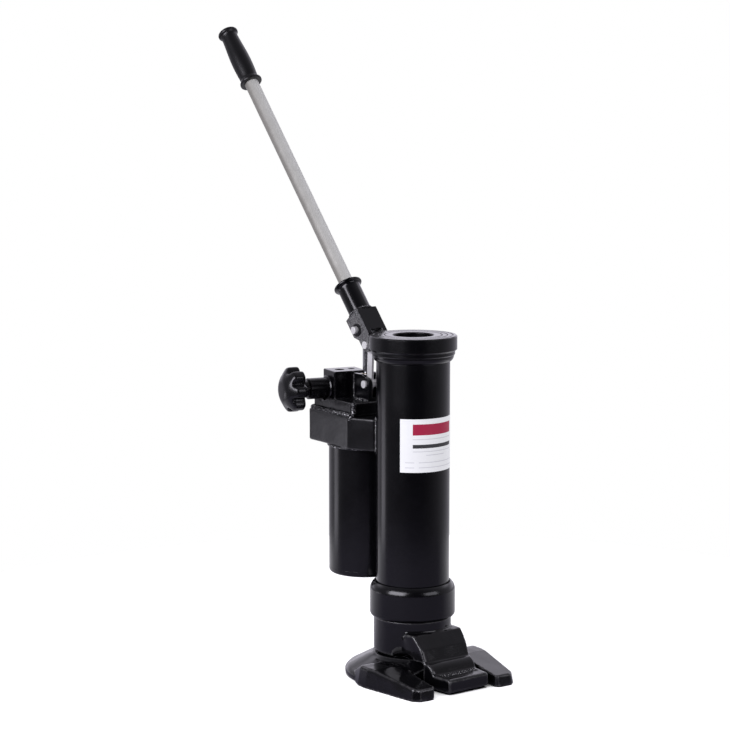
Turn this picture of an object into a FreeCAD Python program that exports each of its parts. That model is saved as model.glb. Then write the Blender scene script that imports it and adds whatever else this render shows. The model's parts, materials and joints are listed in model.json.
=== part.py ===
import FreeCAD, Part
import math
import os
import Sketcher

# Hydraulic machine jack, millimetres, +Z up, lifting toe towards -Y, pump towards +Y.
# The jack axis is the Z axis and the floor is Z = 0.

doc = FreeCAD.newDocument("MachineJack")
X_AXIS = FreeCAD.Vector(1, 0, 0)
Y_AXIS = FreeCAD.Vector(0, 1, 0)
Z_AXIS = FreeCAD.Vector(0, 0, 1)
RIGHT_ANGLE = 90
FULL_TURN = 360
RING_GROOVES = 3
KNOB_LOBES = 7
HEX_SIDES = 6
SIDES = (-1, 1)
TOLERANCE = 0.01

# Driving dimensions: one plain number each, in a sheet cell with this alias.
DRIVING = {
    "free_gap": 0.3, "running_gap": 0.05, "seal_gap": 0.03, "open_pivot_gap": 1.2, "edge_break": 1.2,
    "head_height": 420, "rim_proud": 8.5, "rim_tall": 18, "ledge_tall": 6, "ledge_in": 2.5, "flare_tall": 8,
    "flare_round": 9, "recess_dia": 49.5, "recess_deep": 16, "ring_inset": 4.5, "ring_pitch": 6.5,
    "ring_wide": 1.6, "ring_deep": 0.9, "tube_od": 90, "tube_bore": 64, "spigot_deep": 16,
    "label_tall": 65, "label_foot": 258, "label_thick": 0.25, "label_gap": 0.05, "label_arc": 116,
    "collar_wall": 7.5, "collar_tall": 43, "collar_foot": 73, "collar_bevel": 11, "collar_round": 13,
    "collar_heel": 5, "collar_groove": 0.9, "collar_groove_deep": 3.5,
    "sleeve_proud": 2.75, "sleeve_foot": 30, "sleeve_spigot": 21, "sleeve_round": 3,
    "wiper_tall": 6.5, "wiper_inset": 0.5,
    "toe_reach": 111, "toe_lip_width": 60, "toe_root_width": 78, "toe_root": 33, "toe_top": 60,
    "toe_ledge": 1.2, "brow_reach": 62.5, "brow_up": 45, "chin_reach": 69, "chin_up": 30.5,
    "lip_start": 83, "lip_up": 18.5, "lip_hollow": 14, "toe_floor_gap": 1.5, "toe_back": 66,
    "toe_nose": 2.5, "toe_edge": 2.5,
    "base_dia": 166, "base_rim": 9.5, "base_bevel": 3, "base_foot_break": 1.5, "hub_dia": 103, "hub_up": 28,
    "hub_shoulder": 3, "leg_reach": 116, "leg_span": 150, "leg_start": 12, "leg_heel_up": 11, "leg_peak": 13,
    "leg_flat": 40, "leg_back_up": 23.5, "leg_front_up": 13.5, "leg_corner": 8, "leg_inner_corner": 4,
    "leg_top_break": 3, "leg_draft": 10, "leg_belly": 180, "belly_back": 14, "belly_front": 30,
    "slot_width": 90, "slot_back": 58, "base_turn": 3.5, "socket_floor": 12,
    "well_dia": 34, "well_deep": 7.5, "screw_way": 13,
    "ram_dia": 50, "piston_gap": 2, "piston_tall": 30, "piston_stem_dia": 30, "piston_stem": 18,
    "guide_ring_up": 4, "guide_ring_tall": 6, "guide_ring_wall": 3.2, "seal_up": 15, "seal_tall": 7,
    "seal_wall": 5, "foot_screw_dia": 12, "foot_screw_long": 30, "foot_head_dia": 20, "foot_head_tall": 3.6,
    "foot_head_up": 1, "foot_washer_od": 30, "foot_washer_thick": 2.6, "hex_key": 8, "hex_key_deep": 2,
    "pump_reach": 94, "tank_reach": 97.8, "tank_od": 91, "tank_wall": 2.5, "tank_foot": 110,
    "tank_bottom": 7, "tank_round": 4,
    "block_foot": 274, "block_tall": 40, "block_back": 164, "block_back_width": 84, "block_front": 70,
    "block_front_width": 96, "block_neck": 34, "block_neck_width": 66, "block_round": 8,
    "deck_tall": 17, "deck_inset": 5, "deck_front": 66, "deck_round": 6,
    "barrel_od": 18, "barrel_drop": 8, "barrel_up": 31, "plunger_dia": 10.5, "plunger_foot_up": 16,
    "chamber_floor": 6, "gland_dia": 15.2, "gland_deep": 12, "plunger_seal_tall": 6, "plunger_eye_dia": 20,
    "plunger_eye_thick": 10,
    "seat_tall": 14, "seat_way": 5, "seat_floor": 5, "suction_ball_dia": 7, "ball_way": 9.4,
    "pipe_od": 10, "pipe_bore": 7, "pipe_foot": 136, "strainer_od": 18, "strainer_tall": 18,
    "strainer_wall": 1,
    "filler_right": 27, "filler_back": 128, "filler_dia": 12, "filler_deep": 10, "filler_head": 16,
    "filler_head_tall": 7,
    "valve_left": 33, "valve_back": 117.5, "valve_turn": 12, "valve_long": 44, "valve_wide": 36,
    "valve_tall": 33, "valve_round": 2.5, "valve_axis_up": 11, "release_od": 26.5, "release_long": 37,
    "release_collar_od": 31, "release_collar": 4, "release_neck_od": 21, "release_neck": 7,
    "spindle_dia": 10, "spindle_deep": 12, "spindle_tip": 4, "spindle_point_dia": 2.5, "spindle_out": 52,
    "release_seat": 1,
    "knob_out": 43, "knob_thick": 13, "knob_dia": 57, "lobe_dia": 15, "knob_face_dia": 50, "knob_face": 4,
    "knob_core_dia": 40, "knob_dome": 9, "knob_hub_dia": 22, "knob_hub": 4.5, "knob_break": 2.5,
    "relief_along": 15, "relief_across": 18, "relief_dia": 12, "relief_deep": 11, "relief_key": 6,
    "screw_sunk": 2, "key_deep": 4, "delivery_along": 32, "delivery_across": 20, "delivery_dia": 7,
    "delivery_up": 8, "delivery_way": 3, "delivery_way_long": 3, "delivery_ball_dia": 5,
    "delivery_plug_dia": 8.5, "delivery_plug_deep": 11, "delivery_key": 4, "spring_wire": 0.6,
    "spring_dia": 4.4, "spring_pitch": 1.6,
    "clevis_front": 8.5, "clevis_back": 23, "clevis_up": 32, "clevis_gap": 20, "clevis_thick": 5,
    "clevis_sole": 4, "pin_dia": 9.5, "clevis_pin_long": 35,
    "lever_lean": 40.5, "fulcrum_rise": 69.7, "plunger_pin_along": 24.9, "plunger_pin_back": 3,
    "link_long": 49.4, "link_over": 12.5, "link_lean": 3, "link_gap": 11, "link_thick": 3,
    "link_eye_dia": 15, "link_wide": 9.5,
    "bracket_width": 30, "plate_thick": 6, "plate_up": 47, "plate_front": 14, "plate_back": 14.8,
    "plate_shoulder": 9, "plate_step": 21.5, "plate_notch": 13, "tip_dia": 17, "web_thick": 5,
    "web_foot": 15,
    "fulcrum_pin_long": 36, "plunger_pin_long": 43, "clip_dia": 16, "clip_thick": 1.6,
    "lever_socket_od": 25.5, "lever_socket_top": 91, "socket_flange_od": 35, "socket_flange": 2.5,
    "lever_od": 18.4, "lever_wall": 2, "lever_top": 506, "grip_cap": 5, "grip_long": 90,
    "grip_od": 21.4, "grip_belly": 480, "grip_low_flange": 25.5, "grip_top_flange": 27.5,
    "grip_flange": 3, "grip_flange_slope": 2.5,
}


class Size:
    """A number together with the sheet expression that gives it."""

    def __init__(self, value, text):
        self.value = float(value)
        self.text = text

    def join(self, other, sign, value):
        return Size(value, "(%s %s %s)" % (self.text, sign, other.text))

    def __add__(self, other):
        other = as_size(other)
        return self.join(other, "+", self.value + other.value)

    def __sub__(self, other):
        other = as_size(other)
        return self.join(other, "-", self.value - other.value)

    def __mul__(self, other):
        other = as_size(other)
        return self.join(other, "*", self.value * other.value)

    def __truediv__(self, other):
        other = as_size(other)
        return self.join(other, "/", self.value / other.value)

    def __neg__(self):
        return as_size(0) - self


def as_size(number):
    """Take a plain number or a Size and return a Size."""
    if isinstance(number, Size):
        return number
    return Size(number, "%.6f" % number)


def sine(angle):
    return Size(math.sin(math.radians(angle.value)), "sin(%s * 1 deg)" % angle.text)


def root(number):
    return Size(math.sqrt(number.value), "sqrt(%s)" % number.text)


def cosine(angle):
    return Size(math.cos(math.radians(angle.value)), "cos(%s * 1 deg)" % angle.text)


class Dims:
    """The sheet's cells as attributes, one Size for each alias."""


def make_sheet():
    """Write the driving dimensions to the sheet and hand them back as Sizes."""
    sheet = doc.addObject("Spreadsheet::Sheet", "Dims")
    dims = Dims()
    for row, (alias, number) in enumerate(DRIVING.items(), start=1):
        sheet.set("A%d" % row, alias)
        sheet.set("B%d" % row, str(number))
        sheet.setAlias("B%d" % row, alias)
        setattr(dims, alias, Size(number, "Dims." + alias))
    doc.recompute()
    return dims


d = make_sheet()

# Heights and centres that more than one piece uses.
TUBE_TOP = d.head_height - d.rim_tall - d.ledge_tall - d.flare_tall
CHAMBER_TOP = TUBE_TOP - d.spigot_deep
PISTON_TOP = CHAMBER_TOP - d.piston_gap
PISTON_FOOT = PISTON_TOP - d.piston_tall
TUBE_FOOT = d.collar_foot + d.sleeve_spigot
RAM_FOOT = d.socket_floor + d.free_gap
BLOCK_TOP = d.block_foot + d.block_tall
DECK_TOP = BLOCK_TOP + d.deck_tall
FULCRUM_Z = DECK_TOP + d.fulcrum_rise
PLUNGER_FOOT = d.block_foot + d.plunger_foot_up
BARREL_FOOT = d.block_foot - d.barrel_drop
BARREL_TOP = DECK_TOP + d.barrel_up
SEAT_FOOT = BARREL_FOOT - d.seat_tall
PIN_R = d.pin_dia / 2
FULCRUM_Y = (d.pump_reach - d.plunger_pin_along * sine(d.lever_lean)
             - d.plunger_pin_back * cosine(d.lever_lean))
PLUNGER_PIN_Z = (FULCRUM_Z + d.plunger_pin_along * cosine(d.lever_lean)
                 - d.plunger_pin_back * sine(d.lever_lean))
CLEVIS_Y = FULCRUM_Y + d.link_long * sine(d.link_lean)
CLEVIS_Z = FULCRUM_Z - d.link_long * cosine(d.link_lean)
PLUNGER_PIN = (d.pump_reach, PLUNGER_PIN_Z)
FULCRUM = (FULCRUM_Y, FULCRUM_Z)
CLEVIS = (CLEVIS_Y, CLEVIS_Z)
RELEASE_SPOT = (as_size(0), d.valve_wide / 2, d.valve_axis_up)

PARTS = []


def bind(obj, prop, number):
    """Set a property and tie it to its sheet expression."""
    number = as_size(number)
    setattr(obj, prop, number.value)
    obj.setExpression(prop, number.text)


def place(obj, at, axis=Z_AXIS, turn=0):
    """Place an object at a point, turned about an axis, tied to the sheet."""
    spot = [as_size(c) for c in at]
    turn = as_size(turn)
    where = FreeCAD.Vector(*[c.value for c in spot])
    obj.Placement = FreeCAD.Placement(where, FreeCAD.Rotation(axis, turn.value))
    for letter, c in zip("xyz", spot):
        obj.setExpression("Placement.Base." + letter, c.text)
    return obj


def keep(label, obj):
    """Name a finished sub-part and list it for writing."""
    obj.Label = label
    PARTS.append(obj)
    return obj


def cylinder(name, radius, foot, top, x=0, y=0):
    """An upright cylinder between two heights."""
    obj = doc.addObject("Part::Cylinder", name)
    bind(obj, "Radius", radius)
    bind(obj, "Height", as_size(top) - foot)
    return place(obj, (x, y, foot))


def cross_pin(name, radius, long, spot):
    """A cylinder along X, centred on X = 0, at a (Y, Z) spot."""
    obj = doc.addObject("Part::Cylinder", name)
    bind(obj, "Radius", radius)
    bind(obj, "Height", long)
    return place(obj, (-(as_size(long) / 2), spot[0], spot[1]), Y_AXIS, RIGHT_ANGLE)


def along_x(name, radius, start, end, y, z):
    """A cylinder along X from start to end."""
    obj = doc.addObject("Part::Cylinder", name)
    bind(obj, "Radius", radius)
    bind(obj, "Height", as_size(end) - start)
    return place(obj, (start, y, z), Y_AXIS, RIGHT_ANGLE)


def box(name, low, high):
    """A box between two corners."""
    obj = doc.addObject("Part::Box", name)
    for prop, a, b in zip(("Length", "Width", "Height"), low, high):
        bind(obj, prop, as_size(b) - a)
    return place(obj, low)


def fuse(name, *shapes):
    obj = doc.addObject("Part::MultiFuse", name)
    obj.Shapes = list(shapes)
    obj.Refine = True
    return obj


def cut(name, base, *tools):
    obj = doc.addObject("Part::Cut", name)
    obj.Base = base
    obj.Tool = tools[0] if len(tools) == 1 else fuse(name + "Tools", *tools)
    return obj


def common(name, first, second):
    obj = doc.addObject("Part::MultiCommon", name)
    obj.Shapes = [first, second]
    return obj


def arc_between(start, end, radius):
    """Arc of a signed radius: above zero its centre lies left of the way from start to end."""
    chord = end - start
    half = chord.Length / 2
    left = FreeCAD.Vector(-chord.y, chord.x, 0).normalize()
    rise = math.sqrt(max(radius * radius - half * half, 0))
    centre = (start + end) * 0.5 + left * math.copysign(rise, radius)
    first, last = (start, end) if radius > 0 else (end, start)
    angles = [math.atan2(p.y - centre.y, p.x - centre.x) for p in (first, last)]
    circle = Part.Circle(centre, Z_AXIS, abs(radius))
    return Part.ArcOfCircle(circle, angles[0], angles[1])


def outline(body, role, points, lift=0):
    """A closed sketch on an origin plane; a third number on a point rounds the way to it."""
    sketch = body.newObject("Sketcher::SketchObject", body.Name + "Outline")
    plane = next(f for f in body.Origin.OriginFeatures if f.Role == role)
    sketch.AttachmentSupport = [(plane, "")]
    sketch.MapMode = "FlatFace"
    lift = as_size(lift)
    sketch.AttachmentOffset = FreeCAD.Placement(FreeCAD.Vector(0, 0, lift.value), FreeCAD.Rotation())
    sketch.setExpression("AttachmentOffset.Base.z", lift.text)
    spots = [(as_size(p[0]), as_size(p[1])) for p in points]
    bends = [as_size(p[2]) if len(p) > 2 else None for p in points]
    dots = [FreeCAD.Vector(x.value, y.value, 0) for x, y in spots]
    ends = []
    for i, dot in enumerate(dots):
        before = dots[i - 1]
        bend = bends[i]
        shape = Part.LineSegment(before, dot) if bend is None else arc_between(before, dot, bend.value)
        sketch.addGeometry(shape)
        ends.append((2, 1) if bend is not None and bend.value < 0 else (1, 2))
    for i, (x, y) in enumerate(spots):
        after = (i + 1) % len(spots)
        sketch.addConstraint(Sketcher.Constraint("Coincident", i, ends[i][1], after, ends[after][0]))
        for kind, number in (("DistanceX", x), ("DistanceY", y)):
            tie = sketch.addConstraint(Sketcher.Constraint(kind, -1, 1, i, ends[i][1], number.value))
            sketch.setExpression("Constraints[%d]" % tie, number.text)
        if bends[i] is not None:
            size = bends[i] if bends[i].value > 0 else -bends[i]
            tie = sketch.addConstraint(Sketcher.Constraint("Radius", i, size.value))
            sketch.setExpression("Constraints[%d]" % tie, size.text)
    return sketch


def revolved(name, points, lying=False):
    """A body turned about Z from (radius, height) points, or about X from (x, radius) points."""
    body = doc.addObject("PartDesign::Body", name)
    sketch = outline(body, "XY_Plane" if lying else "XZ_Plane", points)
    turn = body.newObject("PartDesign::Revolution", name + "Turn")
    turn.Profile = sketch
    turn.ReferenceAxis = (sketch, ["H_Axis" if lying else "V_Axis"])
    turn.Angle = FULL_TURN
    doc.recompute()
    return body


def padded(name, role, points, long, lift=0, symmetric=False, draft=0):
    """A body padded from a closed outline on an origin plane; a draft narrows it as it rises."""
    body = doc.addObject("PartDesign::Body", name)
    pad = body.newObject("PartDesign::Pad", name + "Pad")
    pad.Profile = outline(body, role, points, lift)
    bind(pad, "Length", long)
    bind(pad, "TaperAngle", -as_size(draft))
    if symmetric:
        pad.SideType = "Symmetric"
    doc.recompute()
    return body


def soften(body, test, size, kind="Fillet"):
    """Round (or chamfer) the edges of a body's last feature that pass a test."""
    doc.recompute()
    last = body.Tip
    names = ["Edge%d" % n for n, edge in enumerate(last.Shape.Edges, start=1) if test(edge)]
    feature = body.newObject("PartDesign::" + kind, body.Name + kind)
    feature.Base = (last, names)
    bind(feature, "Radius" if kind == "Fillet" else "Size", size)
    doc.recompute()
    return body


def rounded(name, base, test, size):
    """Round the edges of a boolean's result that pass a test."""
    doc.recompute()
    obj = doc.addObject("Part::Fillet", name)
    obj.Base = base
    chosen = [n for n, edge in enumerate(base.Shape.Edges, start=1) if test(edge)]
    obj.Edges = [(n, size.value, size.value) for n in chosen]
    doc.recompute()
    return obj


def is_upright(edge):
    """Test for straight upright edges."""
    first, last = edge.Vertexes[0].Point, edge.Vertexes[-1].Point
    return abs(last.z - first.z) > TOLERANCE and math.hypot(last.x - first.x, last.y - first.y) < TOLERANCE


def lies_at(height):
    """Test for edges that lie flat at a height."""
    def test(edge):
        return all(abs(v.Point.z - height.value) < TOLERANCE for v in edge.Vertexes)
    return test


def rises_between(low, high):
    """Test for edges that lie above a low height and reach a high one."""
    def test(edge):
        span = edge.BoundBox
        return span.ZMin > low.value - TOLERANCE and span.ZMax > high.value - TOLERANCE
    return test


def on_toe_flank(edge):
    """Test for the edges where the toe's sloping front meets its two sides."""
    span = edge.BoundBox
    off_centre = min(abs(span.XMin), abs(span.XMax)) > d.toe_lip_width.value / 2 - TOLERANCE
    ahead = span.YMax < -d.brow_reach.value + TOLERANCE
    return off_centre and ahead and span.ZMin > d.lip_up.value - d.toe_nose.value - TOLERANCE


def dome_round(foot, rise):
    """Radius of the arc that closes a dome of this foot radius and rise on its own axis."""
    return (foot * foot + rise * rise) / (rise * 2)


def mirrored_points(points):
    """Points on the left side followed by their mirror images on the right, as one loop."""
    left = [(as_size(x), as_size(y)) for x, y in points]
    return left + [(-x, y) for x, y in reversed(left)]


def make_leg(side):
    """One leg of the foot: flat on top by the disc, then sloping down to its tip, with drafted sides."""
    inside = d.slot_width / 2 - d.leg_corner
    belly = d.leg_belly / 2
    end = d.leg_span / 2
    name = "Leg%d" % (side + 1)
    plan = padded(name + "Plan", "XY_Plane", [
        ((d.base_dia / 2 - d.base_bevel) * side, d.leg_start), (belly * side, -d.belly_back),
        (belly * side, -d.belly_front), (end * side, -(d.leg_reach - d.leg_corner)),
        ((end - d.leg_corner) * side, -d.leg_reach), (inside * side, -d.leg_reach),
        (inside * side, d.leg_start)], d.leg_back_up, draft=d.leg_draft)
    side_view = padded(name + "Side", "YZ_Plane", [
        (d.leg_start, 0), (d.leg_start, d.leg_heel_up), (-d.leg_peak, d.leg_back_up),
        (-d.leg_flat, d.leg_back_up), (-d.leg_reach, d.leg_front_up), (-d.leg_reach, 0)],
        d.leg_belly, symmetric=True)
    blank = common(name + "Blank", plan, side_view)
    return rounded(name, blank, rises_between(d.leg_heel_up, d.leg_front_up), d.leg_top_break)


def make_base():
    """Foot casting: round disc with a hub, and two legs either side of the toe's slot."""
    rim = d.base_dia / 2
    hub = d.hub_dia / 2
    bore = d.ram_dia / 2 + d.running_gap
    disc = revolved("BaseDisc", [
        (d.well_dia / 2, 0), (rim - d.base_foot_break, 0), (rim, d.base_foot_break),
        (rim, d.base_rim - d.base_bevel), (rim - d.base_bevel, d.base_rim),
        (hub, d.hub_up - d.hub_shoulder), (hub - d.hub_shoulder, d.hub_up), (bore, d.hub_up),
        (bore, d.socket_floor), (d.screw_way / 2, d.socket_floor), (d.screw_way / 2, d.well_deep),
        (d.well_dia / 2, d.well_deep)])
    slot = d.slot_width / 2
    mouth = slot + d.leg_inner_corner
    gap = padded("ToeSlot", "XY_Plane", mirrored_points([
        (-slot, -d.slot_back), (-slot, -(d.leg_reach - d.leg_inner_corner)), (-mouth, -d.leg_reach),
        (-mouth, -d.base_dia)]), d.hub_up)
    blank = fuse("BaseBlank", disc, *[make_leg(side) for side in SIDES])
    base = cut("BasePlate", blank, gap)
    place(base, (0, 0, 0), Z_AXIS, -d.base_turn)
    keep("base_plate", base)


def make_ram():
    """Fixed ram with its piston, held down in the foot by a screw and washer."""
    ram = d.ram_dia / 2
    stem = d.piston_stem_dia / 2
    thread = d.foot_screw_dia / 2
    stem_top = PISTON_FOOT + d.piston_stem
    screw_foot = d.foot_head_up + d.foot_head_tall
    screw_top = RAM_FOOT + d.foot_screw_long
    keep("ram", revolved("Ram", [
        (thread, RAM_FOOT), (ram, RAM_FOOT), (ram, PISTON_FOOT), (stem, PISTON_FOOT), (stem, stem_top),
        (0, stem_top), (0, screw_top), (thread, screw_top)]))
    outer = d.tube_bore / 2 - d.running_gap
    ring_foot = PISTON_FOOT + d.guide_ring_up
    ring_top = ring_foot + d.guide_ring_tall
    seal_foot = PISTON_FOOT + d.seal_up
    seal_top = seal_foot + d.seal_tall
    ring_in = outer - d.guide_ring_wall
    seal_in = outer - d.seal_wall
    keep("piston_head", revolved("PistonHead", [
        (stem, PISTON_FOOT), (outer, PISTON_FOOT), (outer, ring_foot), (ring_in, ring_foot),
        (ring_in, ring_top), (outer, ring_top), (outer, seal_foot), (seal_in, seal_foot),
        (seal_in, seal_top), (outer, seal_top), (outer, PISTON_TOP), (0, PISTON_TOP), (0, stem_top),
        (stem, stem_top)]))
    rubbing = d.tube_bore / 2 - d.seal_gap
    ring("piston_guide_ring", ring_in, rubbing, ring_foot, ring_top)
    ring("piston_seal", seal_in, rubbing, seal_foot, seal_top)
    ring("ram_foot_washer", thread, d.foot_washer_od / 2, screw_foot, screw_foot + d.foot_washer_thick)
    shank = cylinder("FootShank", thread, screw_foot, screw_top)
    head = cylinder("FootHead", d.foot_head_dia / 2, d.foot_head_up, screw_foot)
    key = hexagon("FootKey", d.hex_key, d.foot_head_up, d.foot_head_up + d.hex_key_deep)
    keep("ram_foot_screw", cut("RamFootScrew", fuse("FootScrewBlank", shank, head), key))


def ring(label, inner, outer, foot, top, x=0, y=0):
    """A plain upright ring as a finished sub-part."""
    name = label.title().replace("_", "")
    body = cylinder(name + "Body", outer, foot, top, x, y)
    hole = cylinder(name + "Hole", inner, foot, top, x, y)
    return keep(label, cut(name, body, hole))


def hexagon(name, across, foot, top, x=0, y=0):
    """A hexagonal prism, sized across its corners."""
    obj = doc.addObject("Part::Prism", name)
    obj.Polygon = HEX_SIDES
    bind(obj, "Circumradius", as_size(across) / 2)
    bind(obj, "Height", as_size(top) - foot)
    return place(obj, (x, y, foot))


def make_head():
    """Head cap with its flare, rim, ring grooves and central recess."""
    rim = d.tube_od / 2 + d.rim_proud
    ledge = rim - d.ledge_in
    rim_foot = d.head_height - d.rim_tall
    flare_top = rim_foot - d.ledge_tall
    points = [
        (d.tube_bore / 2, TUBE_TOP), (d.tube_od / 2, TUBE_TOP),
        (ledge - d.edge_break, flare_top, d.flare_round), (ledge, flare_top + d.edge_break),
        (ledge, rim_foot - d.edge_break), (rim - d.edge_break, rim_foot), (rim, rim_foot + d.edge_break),
        (rim, d.head_height - d.edge_break), (rim - d.edge_break, d.head_height)]
    for n in range(RING_GROOVES):
        outer = rim - d.ring_inset - d.ring_pitch * n
        inner = outer - d.ring_wide
        floor = d.head_height - d.ring_deep
        points += [(outer, d.head_height), (outer, floor), (inner, floor), (inner, d.head_height)]
    hole = d.recess_dia / 2
    floor = d.head_height - d.recess_deep
    points += [(hole + d.edge_break, d.head_height), (hole, d.head_height - d.edge_break), (hole, floor),
               (0, floor), (0, CHAMBER_TOP), (d.tube_bore / 2, CHAMBER_TOP)]
    keep("head_cap", revolved("HeadCap", points))


def make_cylinder():
    """Lifting cylinder: tube, collar and the label on the tube's front."""
    ring("cylinder_tube", d.tube_bore / 2, d.tube_od / 2, TUBE_FOOT, TUBE_TOP)
    tube = d.tube_od / 2
    collar = tube + d.collar_wall
    top = d.collar_foot + d.collar_tall
    lip = tube + d.collar_groove
    keep("collar_ring", revolved("CollarRing", [
        (tube, d.collar_foot), (collar - d.collar_heel, d.collar_foot),
        (collar, d.collar_foot + d.collar_heel, d.collar_heel), (collar, top - d.collar_bevel),
        (lip + d.edge_break, top, d.collar_round), (lip, top - d.edge_break),
        (lip, top - d.collar_groove_deep), (tube, top - d.collar_groove_deep)]))
    inside = tube + d.label_gap
    label_top = d.label_foot + d.label_tall
    skin = cylinder("LabelSkin", inside + d.label_thick, d.label_foot, label_top)
    bind(skin, "Angle", d.label_arc)
    core = cylinder("LabelCore", inside, d.label_foot, label_top)
    label = cut("LabelPlate", skin, core)
    place(label, (0, 0, 0), Z_AXIS, -(d.label_arc / 2 + RIGHT_ANGLE))
    keep("label_plate", label)


def make_toe():
    """Lower sleeve of the cylinder with the lifting toe cast on its front."""
    bore = d.tube_bore / 2
    sleeve = d.tube_od / 2 + d.sleeve_proud
    round_foot = d.sleeve_foot + d.sleeve_round
    body = revolved("ToeSleeve", [
        (bore, d.sleeve_foot), (sleeve - d.sleeve_round, d.sleeve_foot),
        (sleeve, round_foot, d.sleeve_round), (sleeve, d.collar_foot), (d.tube_od / 2, d.collar_foot),
        (d.tube_od / 2, TUBE_FOOT), (bore, TUBE_FOOT)])
    side_view = padded("ToeSide", "YZ_Plane", [
        (-d.toe_root, d.sleeve_foot), (-d.toe_root, d.toe_top), (-(sleeve + d.toe_ledge), d.toe_top),
        (-d.brow_reach, d.brow_up), (-d.chin_reach, d.chin_up), (-d.lip_start, d.lip_up, d.lip_hollow),
        (-(d.toe_reach - d.toe_nose), d.lip_up), (-d.toe_reach, d.lip_up - d.toe_nose),
        (-d.toe_reach, d.toe_floor_gap + d.toe_nose), (-(d.toe_reach - d.toe_nose), d.toe_floor_gap),
        (-d.toe_back, d.toe_floor_gap), (-d.toe_back, d.sleeve_foot)], d.toe_root_width, symmetric=True)
    plan = padded("ToePlan", "XY_Plane", mirrored_points([
        (-d.toe_root_width / 2, -d.toe_root), (-d.toe_lip_width / 2, -d.toe_reach)]), d.collar_foot)
    toe = cut("ToeBlock", common("ToeBlank", side_view, plan),
              cylinder("ToeCore", bore, 0, d.collar_foot))
    keep("lifting_toe", fuse("LiftingToe", body, rounded("RoundedToe", toe, on_toe_flank, d.toe_edge)))
    ram = d.ram_dia / 2
    wiper_foot = d.sleeve_foot + d.wiper_inset
    wiper_top = wiper_foot + d.wiper_tall
    ring("wiper_seal", ram + d.seal_gap, bore, wiper_foot, wiper_top)
    ring("guide_bush", ram + d.running_gap, bore, wiper_top, TUBE_FOOT)


def make_pump_body():
    """Pump block and its deck, welded to the tube, with the oil tank hung below."""
    barrel = d.barrel_od / 2
    block = padded("BlockBlank", "XY_Plane", mirrored_points([
        (-d.block_neck_width / 2, d.block_neck), (-d.block_front_width / 2, d.block_front),
        (-d.block_back_width / 2, d.block_back)]), d.block_tall, d.block_foot)
    soften(block, is_upright, d.block_round)
    soften(block, lies_at(BLOCK_TOP), d.edge_break)
    soften(block, lies_at(d.block_foot), d.edge_break)
    tube = cylinder("BlockTubeWay", d.tube_od / 2, d.block_foot, BLOCK_TOP)
    way = cylinder("BlockBarrelWay", barrel, d.block_foot, BLOCK_TOP, 0, d.pump_reach)
    keep("pump_block", cut("PumpBlock", block, tube, way))
    front = d.block_front_width / 2 - d.deck_inset
    back = d.block_back_width / 2 - d.deck_inset
    deck = padded("DeckBlank", "XY_Plane", mirrored_points([
        (-front, d.deck_front), (-back, d.block_back - d.deck_inset)]), d.deck_tall, BLOCK_TOP)
    soften(deck, is_upright, d.deck_round)
    soften(deck, lies_at(DECK_TOP), d.edge_break)
    way = cylinder("DeckBarrelWay", barrel, BLOCK_TOP, DECK_TOP, 0, d.pump_reach)
    hole = cylinder("FillerWay", d.filler_dia / 2, DECK_TOP - d.filler_deep, DECK_TOP,
                    d.filler_right, d.filler_back)
    keep("pump_deck", cut("PumpDeck", deck, way, hole, sleeve_way()))
    shank = cylinder("FillerShank", d.filler_dia / 2, DECK_TOP - d.filler_deep, DECK_TOP,
                     d.filler_right, d.filler_back)
    head = hexagon("FillerHead", d.filler_head, DECK_TOP, DECK_TOP + d.filler_head_tall,
                   d.filler_right, d.filler_back)
    keep("filler_plug", fuse("FillerPlug", shank, head))
    tank = d.tank_od / 2
    tank_floor = d.tank_foot + d.tank_bottom
    ring("reservoir_tank", tank - d.tank_wall, tank, tank_floor, d.block_foot, 0, d.tank_reach)
    bottom = revolved("ReservoirBottom", [
        (0, d.tank_foot), (tank - d.tank_round, d.tank_foot),
        (tank, d.tank_foot + d.tank_round, d.tank_round), (tank, tank_floor), (0, tank_floor)])
    keep("reservoir_bottom", place(bottom, (0, d.tank_reach, 0)))


def sleeve_way():
    """The hollow in the deck that clears the release valve's sleeve."""
    way = revolved("SleeveWay", [
        (-d.release_long, 0), (-d.release_long, d.release_collar_od / 2 + d.free_gap),
        (d.free_gap, d.release_collar_od / 2 + d.free_gap), (d.free_gap, 0)], lying=True)
    return at_valve(way, RELEASE_SPOT)


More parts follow.
